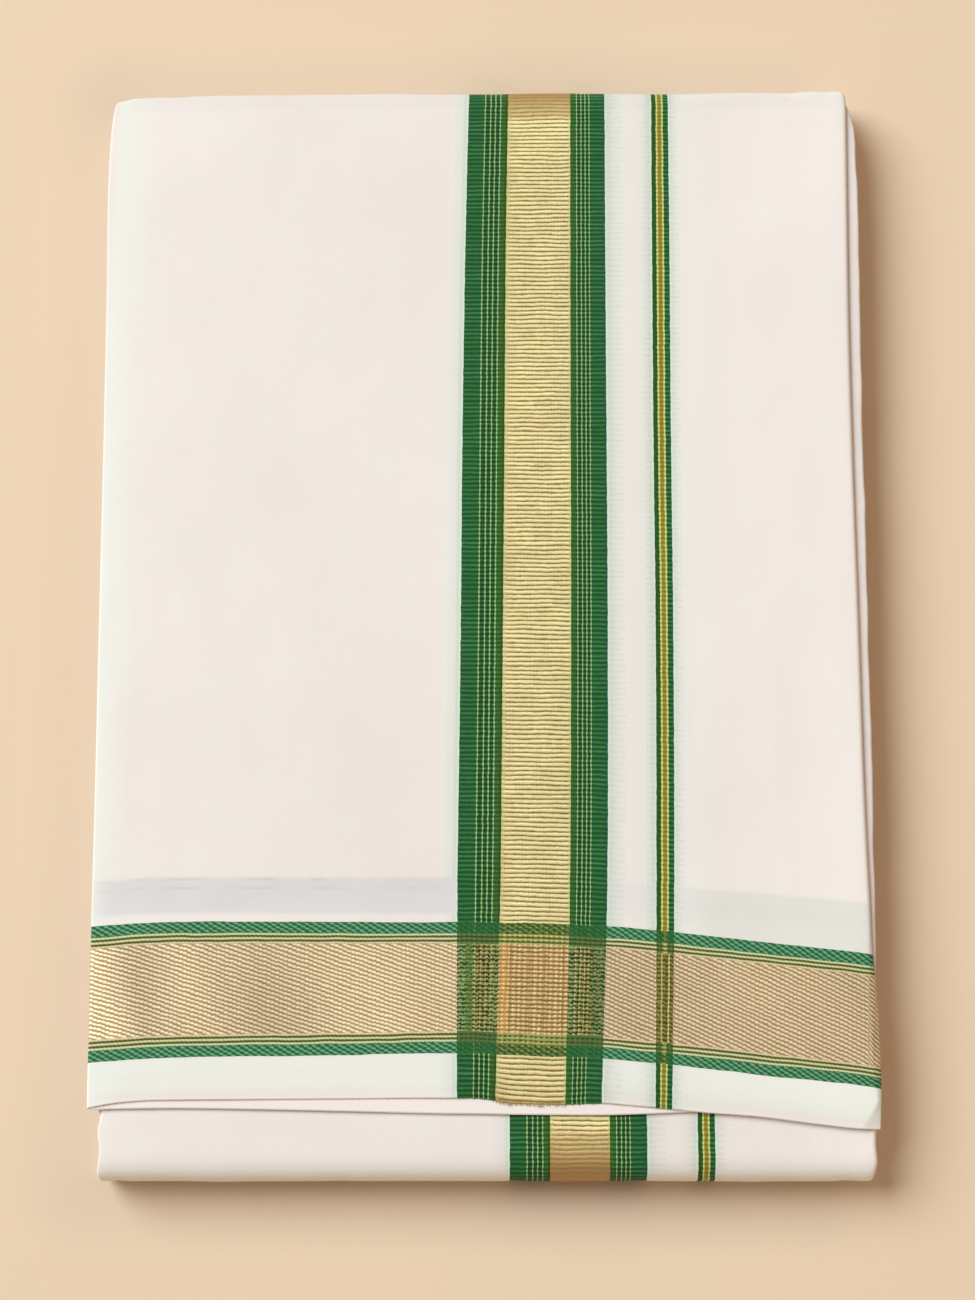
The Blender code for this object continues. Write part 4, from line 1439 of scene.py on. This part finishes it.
def folded_edge_tree():
    """Sweep a U of folded cloth along the given line, its open side inwards."""
    inputs = {"Reach": "Float", "Height": "Float", "Roundness": "Float", "Inward": "Vector",
              "Finish": "Material"}
    tree = GeometryTree("folded_edge", inputs)
    given = tree.given
    line = tree.node("GeometryNodeMeshToCurve", {"Mesh": given["Geometry"]})
    facing = {"Curve": line, "Normal": given["Inward"]}
    turned = tree.node("GeometryNodeSetCurveNormal", facing, mode="FREE")
    size = {"Width": given["Reach"], "Height": given["Height"]}
    ring = tree.node("GeometryNodeCurvePrimitiveQuadrilateral", size, mode="RECTANGLE")
    shift = tree.node("ShaderNodeCombineXYZ", {0: tree.product(given["Reach"], 0.5)})
    moved = tree.node("GeometryNodeTransform", {"Geometry": ring, "Translation": shift})
    opened = tree.node("GeometryNodeSetSplineCyclic", {"Geometry": moved, "Cyclic": False})
    corners = {"Curve": opened, "Radius": tree.product(given["Height"], given["Roundness"]),
               "Count": EDGE_CORNER_POINTS, "Limit Radius": True}
    rounded = tree.node("GeometryNodeFilletCurve", corners, mode="POLY")
    swept = tree.node("GeometryNodeCurveToMesh", {"Curve": turned, "Profile Curve": rounded})
    return tree.close(tree.node("GeometryNodeSetShadeSmooth", {"Geometry": swept}))


def sweep_edge(tree, run, material):
    """The folded edges of one run, as one small folded sheet along its spiral."""
    inward = (1.0, 0.0, 0.0) if run.side == "left" else (-1.0, 0.0, 0.0)
    values = {"Reach": EDGE_REACH, "Height": run.height, "Roundness": run.roundness, "Inward": inward,
              "Finish": material}
    return wall_inwards(tree.grow(edge_line(run), values))


def build_hidden_layers(material):
    """The rolled layers behind the folded edges, as one closed flat roll."""
    radius = BODY_THICKNESS / 2 - OUTER_PITCH - HIDDEN_GAP
    middle = BODY_THICKNESS / 2 + HIDDEN_GAP / 2
    ring = []
    for centre_y, first in ((NEAR_CENTRE_Y, 270), (TOP_CENTRE_Y, 90)):
        for angle in np.radians(np.linspace(first, first - 180, HIDDEN_ARC_POINTS)):
            ring.append((centre_y + radius * math.cos(angle), middle + radius * math.sin(angle)))
    ring = np.array(ring)
    stations = np.linspace(HIDDEN_LEFT, HIDDEN_RIGHT, HIDDEN_STATIONS)
    rings = [np.column_stack((np.full(len(ring), x), ring)) for x in stations]
    points = settle(np.array(rings)).reshape(-1, 3)
    count = len(ring)
    faces = []
    for level in range(len(stations) - 1):
        for index in range(count):
            after = (index + 1) % count
            low = level * count
            faces.append((low + index, low + after, low + count + after, low + count + index))
    last = (len(stations) - 1) * count
    for index in range(count // 2 - 1):
        across = count - 1 - index
        faces.append((index, index + 1, across - 1, across))
        faces.append((last + across, last + across - 1, last + index + 1, last + index))
    mesh = bpy.data.meshes.new("hidden_layers")
    mesh.from_pydata(points.tolist(), [], faces)
    mesh.materials.append(material)
    shape = bmesh.new()
    shape.from_mesh(mesh)
    bmesh.ops.recalc_face_normals(shape, faces=shape.faces)
    shape.to_mesh(mesh)
    shape.free()
    return linked("hidden_layers", mesh)


# ==== cut yarns standing at the free end ================================================
SEED_STEP = 7.0                 # the yarns' sizes are drawn with a seed of their own
VECTOR_LEAST, VECTOR_MOST, NUMBER_LEAST, NUMBER_MOST = range(4)     # sockets of a random node
NUMBER_RESULT = 1
LEAST_TURN = (-0.5, -1.2, -0.7)
MOST_TURN = (0.4, 1.2, 0.7)
YARN_POINTS = 5
YARN_BACK = 0.15 * MM           # a yarn starts this far inside the cut end
YarnKind = namedtuple("YarnKind", "finish spacing radius tip bend smallest")
GOLD_YARN = YarnKind("gold", 0.55, 0.17, (0.35, -1.25, 0.05), (0.0, -0.95, 0.40), 0.35)
GREEN_YARN = YarnKind("green", 0.80, 0.12, (0.20, -0.70, 0.0), (0.0, -0.5, 0.25), 0.30)
WHITE_YARN = YarnKind("white", 1.10, 0.09, (0.15, -0.60, -0.05), (0.0, -0.45, 0.12), 0.25)
YARN_ENDS = table("name kind first_x last_x seed", (
    ("gold_yarn_ends", GOLD_YARN, 0.0048, 0.0309, 3),
    ("left_green_yarn_ends", GREEN_YARN, -0.0096, 0.0044, 5),
    ("right_green_yarn_ends", GREEN_YARN, 0.0314, 0.0450, 9),
    ("left_white_yarn_ends", WHITE_YARN, -0.1490, -0.0104, 13),
    ("right_white_yarn_ends", WHITE_YARN, 0.0460, 0.1400, 17),
))


def end_line(row):
    """Points along the cut end, one to a yarn, joined by nothing."""
    xs = np.arange(row.first_x, row.last_x, row.kind.spacing * MM)
    y = FREE_END_Y + bow(xs, 0.0, 0.0)
    z = THICKNESS - PLY / 2 + crease_relief(xs, y) + soft_waves(xs, y) - end_sag(0.0, 0.0)
    return bare_mesh(row.name, settle(np.stack((xs, y + YARN_BACK, z), axis=-1)), [])


def end_yarn_tree():
    """Set a short bent yarn at every given point, each turned and sized its own way."""
    inputs = {"Radius": "Float", "Tip": "Vector", "Bend": "Vector", "Smallest": "Float", "Seed": "Int",
              "Finish": "Material"}
    tree = GeometryTree("end_yarns", inputs)
    given = tree.given
    bent = {"Resolution": YARN_POINTS, "Start": (0.0, 0.0, 0.0)}
    bent.update({"Middle": given["Bend"], "End": given["Tip"]})
    path = tree.node("GeometryNodeCurveQuadraticBezier", bent)
    round_line = {"Resolution": YARN_POINTS, "Radius": given["Radius"]}
    profile = tree.node("GeometryNodeCurvePrimitiveCircle", round_line)
    round_yarn = {"Curve": path, "Profile Curve": profile, "Fill Caps": True}
    yarn = tree.node("GeometryNodeCurveToMesh", round_yarn)
    limits = {VECTOR_LEAST: LEAST_TURN, VECTOR_MOST: MOST_TURN, "Seed": given["Seed"]}
    turn = tree.node("FunctionNodeRandomValue", limits, data_type="FLOAT_VECTOR")
    other = tree.node("ShaderNodeMath", {0: given["Seed"], 1: SEED_STEP}, operation="ADD")
    limits = {NUMBER_LEAST: given["Smallest"], NUMBER_MOST: 1.0, "Seed": other}
    size = tree.node("FunctionNodeRandomValue", limits, output=NUMBER_RESULT, data_type="FLOAT")
    placed = {"Points": given["Geometry"], "Instance": yarn, "Rotation": turn, "Scale": size}
    return tree.close(tree.node("GeometryNodeInstanceOnPoints", placed))


def build_yarn_ends(tree, row, finishes):
    """The yarns of one kind on their part of the cut end."""
    kind = row.kind
    tip, bend = (tuple(value * MM for value in place) for place in (kind.tip, kind.bend))
    values = {"Radius": kind.radius * MM, "Tip": tip, "Bend": bend, "Smallest": kind.smallest,
              "Seed": row.seed, "Finish": finishes[kind.finish]}
    return tree.grow(end_line(row), values)


# ==== the scene =========================================================================
FLOOR = srgb(236, 213, 184)
FLOOR_PAINTED_SHADE = srgb(221, 200, 176)
FLOOR_HALF = 4.0
BY_PACK = 0.030                 # the floor is painted with shade this close to the pack
PAINTED_SHADE_END_X = 0.130             # but not on the shadow's side of this line
PAINTED_SHADE_END_EDGE = 0.02


def make_floor():
    r = Recipe("pale_floor")
    x, y = r.axes(r.object_place(), 2, 1.0)
    out_x = (x.absolute() - PACK_BOX[1][0]).maximum(0.0)
    out_y = (y.absolute() - PACK_BOX[1][1]).maximum(0.0)
    away = (out_x * out_x + out_y * out_y) ** 0.5
    # painted shade on the floor beside the pack, except on the shadow's side
    painted_shade = (1.0 - away.rise(0.0, BY_PACK)) * (1.0 - x.rise(PAINTED_SHADE_END_X, PAINTED_SHADE_END_EDGE))
    colour = r.mix(painted_shade * 0.9, FLOOR, FLOOR_PAINTED_SHADE)
    mesh = bpy.data.meshes.new("floor")
    fixed = {"Specular IOR Level": 0.1}
    mesh.materials.append(r.finish(colour, roughness=0.95, metallic=0.0, height=0.0, fixed=fixed))
    shape = bmesh.new()
    bmesh.ops.create_grid(shape, x_segments=1, y_segments=1, size=FLOOR_HALF)
    shape.to_mesh(mesh)
    shape.free()
    floor = linked("floor", mesh)


CAMERA_DISTANCE = 1.0
CAMERA_TARGET = (0.00135, -0.0176, THICKNESS)
CAMERA_TILT = math.radians(12)  # away from straight down, towards the near end
FRAME_HEIGHT = 1300
FOCAL_PIXELS = 2531
SENSOR = 36.0
KEY_PLACE = (-5.64, 3.665, 6.27)
KEY_SIZE = 7.2
KEY_POWER = 1012.0
KEY_COLOUR = (0.83, 0.932, 1.0)
ROOM_COLOUR = (1.0, 0.75, 0.575, 1.0)
ROOM_STRENGTH = 0.385


def make_camera():
    data = bpy.data.cameras.new("camera")
    data.sensor_fit = "VERTICAL"
    data.sensor_height = SENSOR
    data.lens = SENSOR * FOCAL_PIXELS / FRAME_HEIGHT
    data.clip_start = 0.01
    camera = linked("camera", data)
    x, y, z = CAMERA_TARGET
    back = CAMERA_DISTANCE * math.sin(CAMERA_TILT)
    camera.location = (x, y - back, z + CAMERA_DISTANCE * math.cos(CAMERA_TILT))
    camera.rotation_euler = (CAMERA_TILT, 0.0, 0.0)
    bpy.context.scene.camera = camera


def make_lights():
    """One wide soft light from the upper left, and a warm room."""
    data = bpy.data.lights.new("key", "AREA")
    data.shape = "DISK"
    data.size = KEY_SIZE
    data.energy = KEY_POWER
    data.color = KEY_COLOUR
    light = linked("key", data)
    light.location = KEY_PLACE
    direction = np.array(KEY_PLACE) / np.linalg.norm(KEY_PLACE)
    light.rotation_euler = (math.acos(direction[2]), 0.0, math.atan2(direction[0], -direction[1]))
    world = bpy.data.worlds.new("studio")
    world.use_nodes = True
    background = world.node_tree.nodes["Background"]
    background.inputs["Color"].default_value = ROOM_COLOUR
    background.inputs["Strength"].default_value = ROOM_STRENGTH
    bpy.context.scene.world = world


bpy.context.scene.view_settings.view_transform = "Standard"
make_camera()
cloth_finish = woven_cloth(cloth_rows())
edge_finish = folded_cotton()

outer_cloth = build_outer_cloth(cloth_finish)
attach(outer_cloth, "root")
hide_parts("front_leaf", "top_fold", "under_stretch", "lower_fold")

hidden_layers = build_hidden_layers(edge_finish)
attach(hidden_layers, "root")
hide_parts("folded_core")

edge_tree = folded_edge_tree()
for run in FOLD_RUNS:
    piece = sweep_edge(edge_tree, run, edge_finish)
    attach(piece, "root")
    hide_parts("folded_core")

yarn_finishes = {
    "gold": yarn_finish("gold_yarn", GOLD_LIGHT, GOLD_DARK, 0.4),
    "green": yarn_finish("green_yarn", GREEN_LIGHT, GREEN_DARK, 0.0),
    "white": yarn_finish("white_yarn", COTTON, COTTON_SHADE, 0.0),
}
yarn_tree = end_yarn_tree()
for row in YARN_ENDS:
    yarns = build_yarn_ends(yarn_tree, row, yarn_finishes)
    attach(yarns, "root")

make_floor()
make_lights()
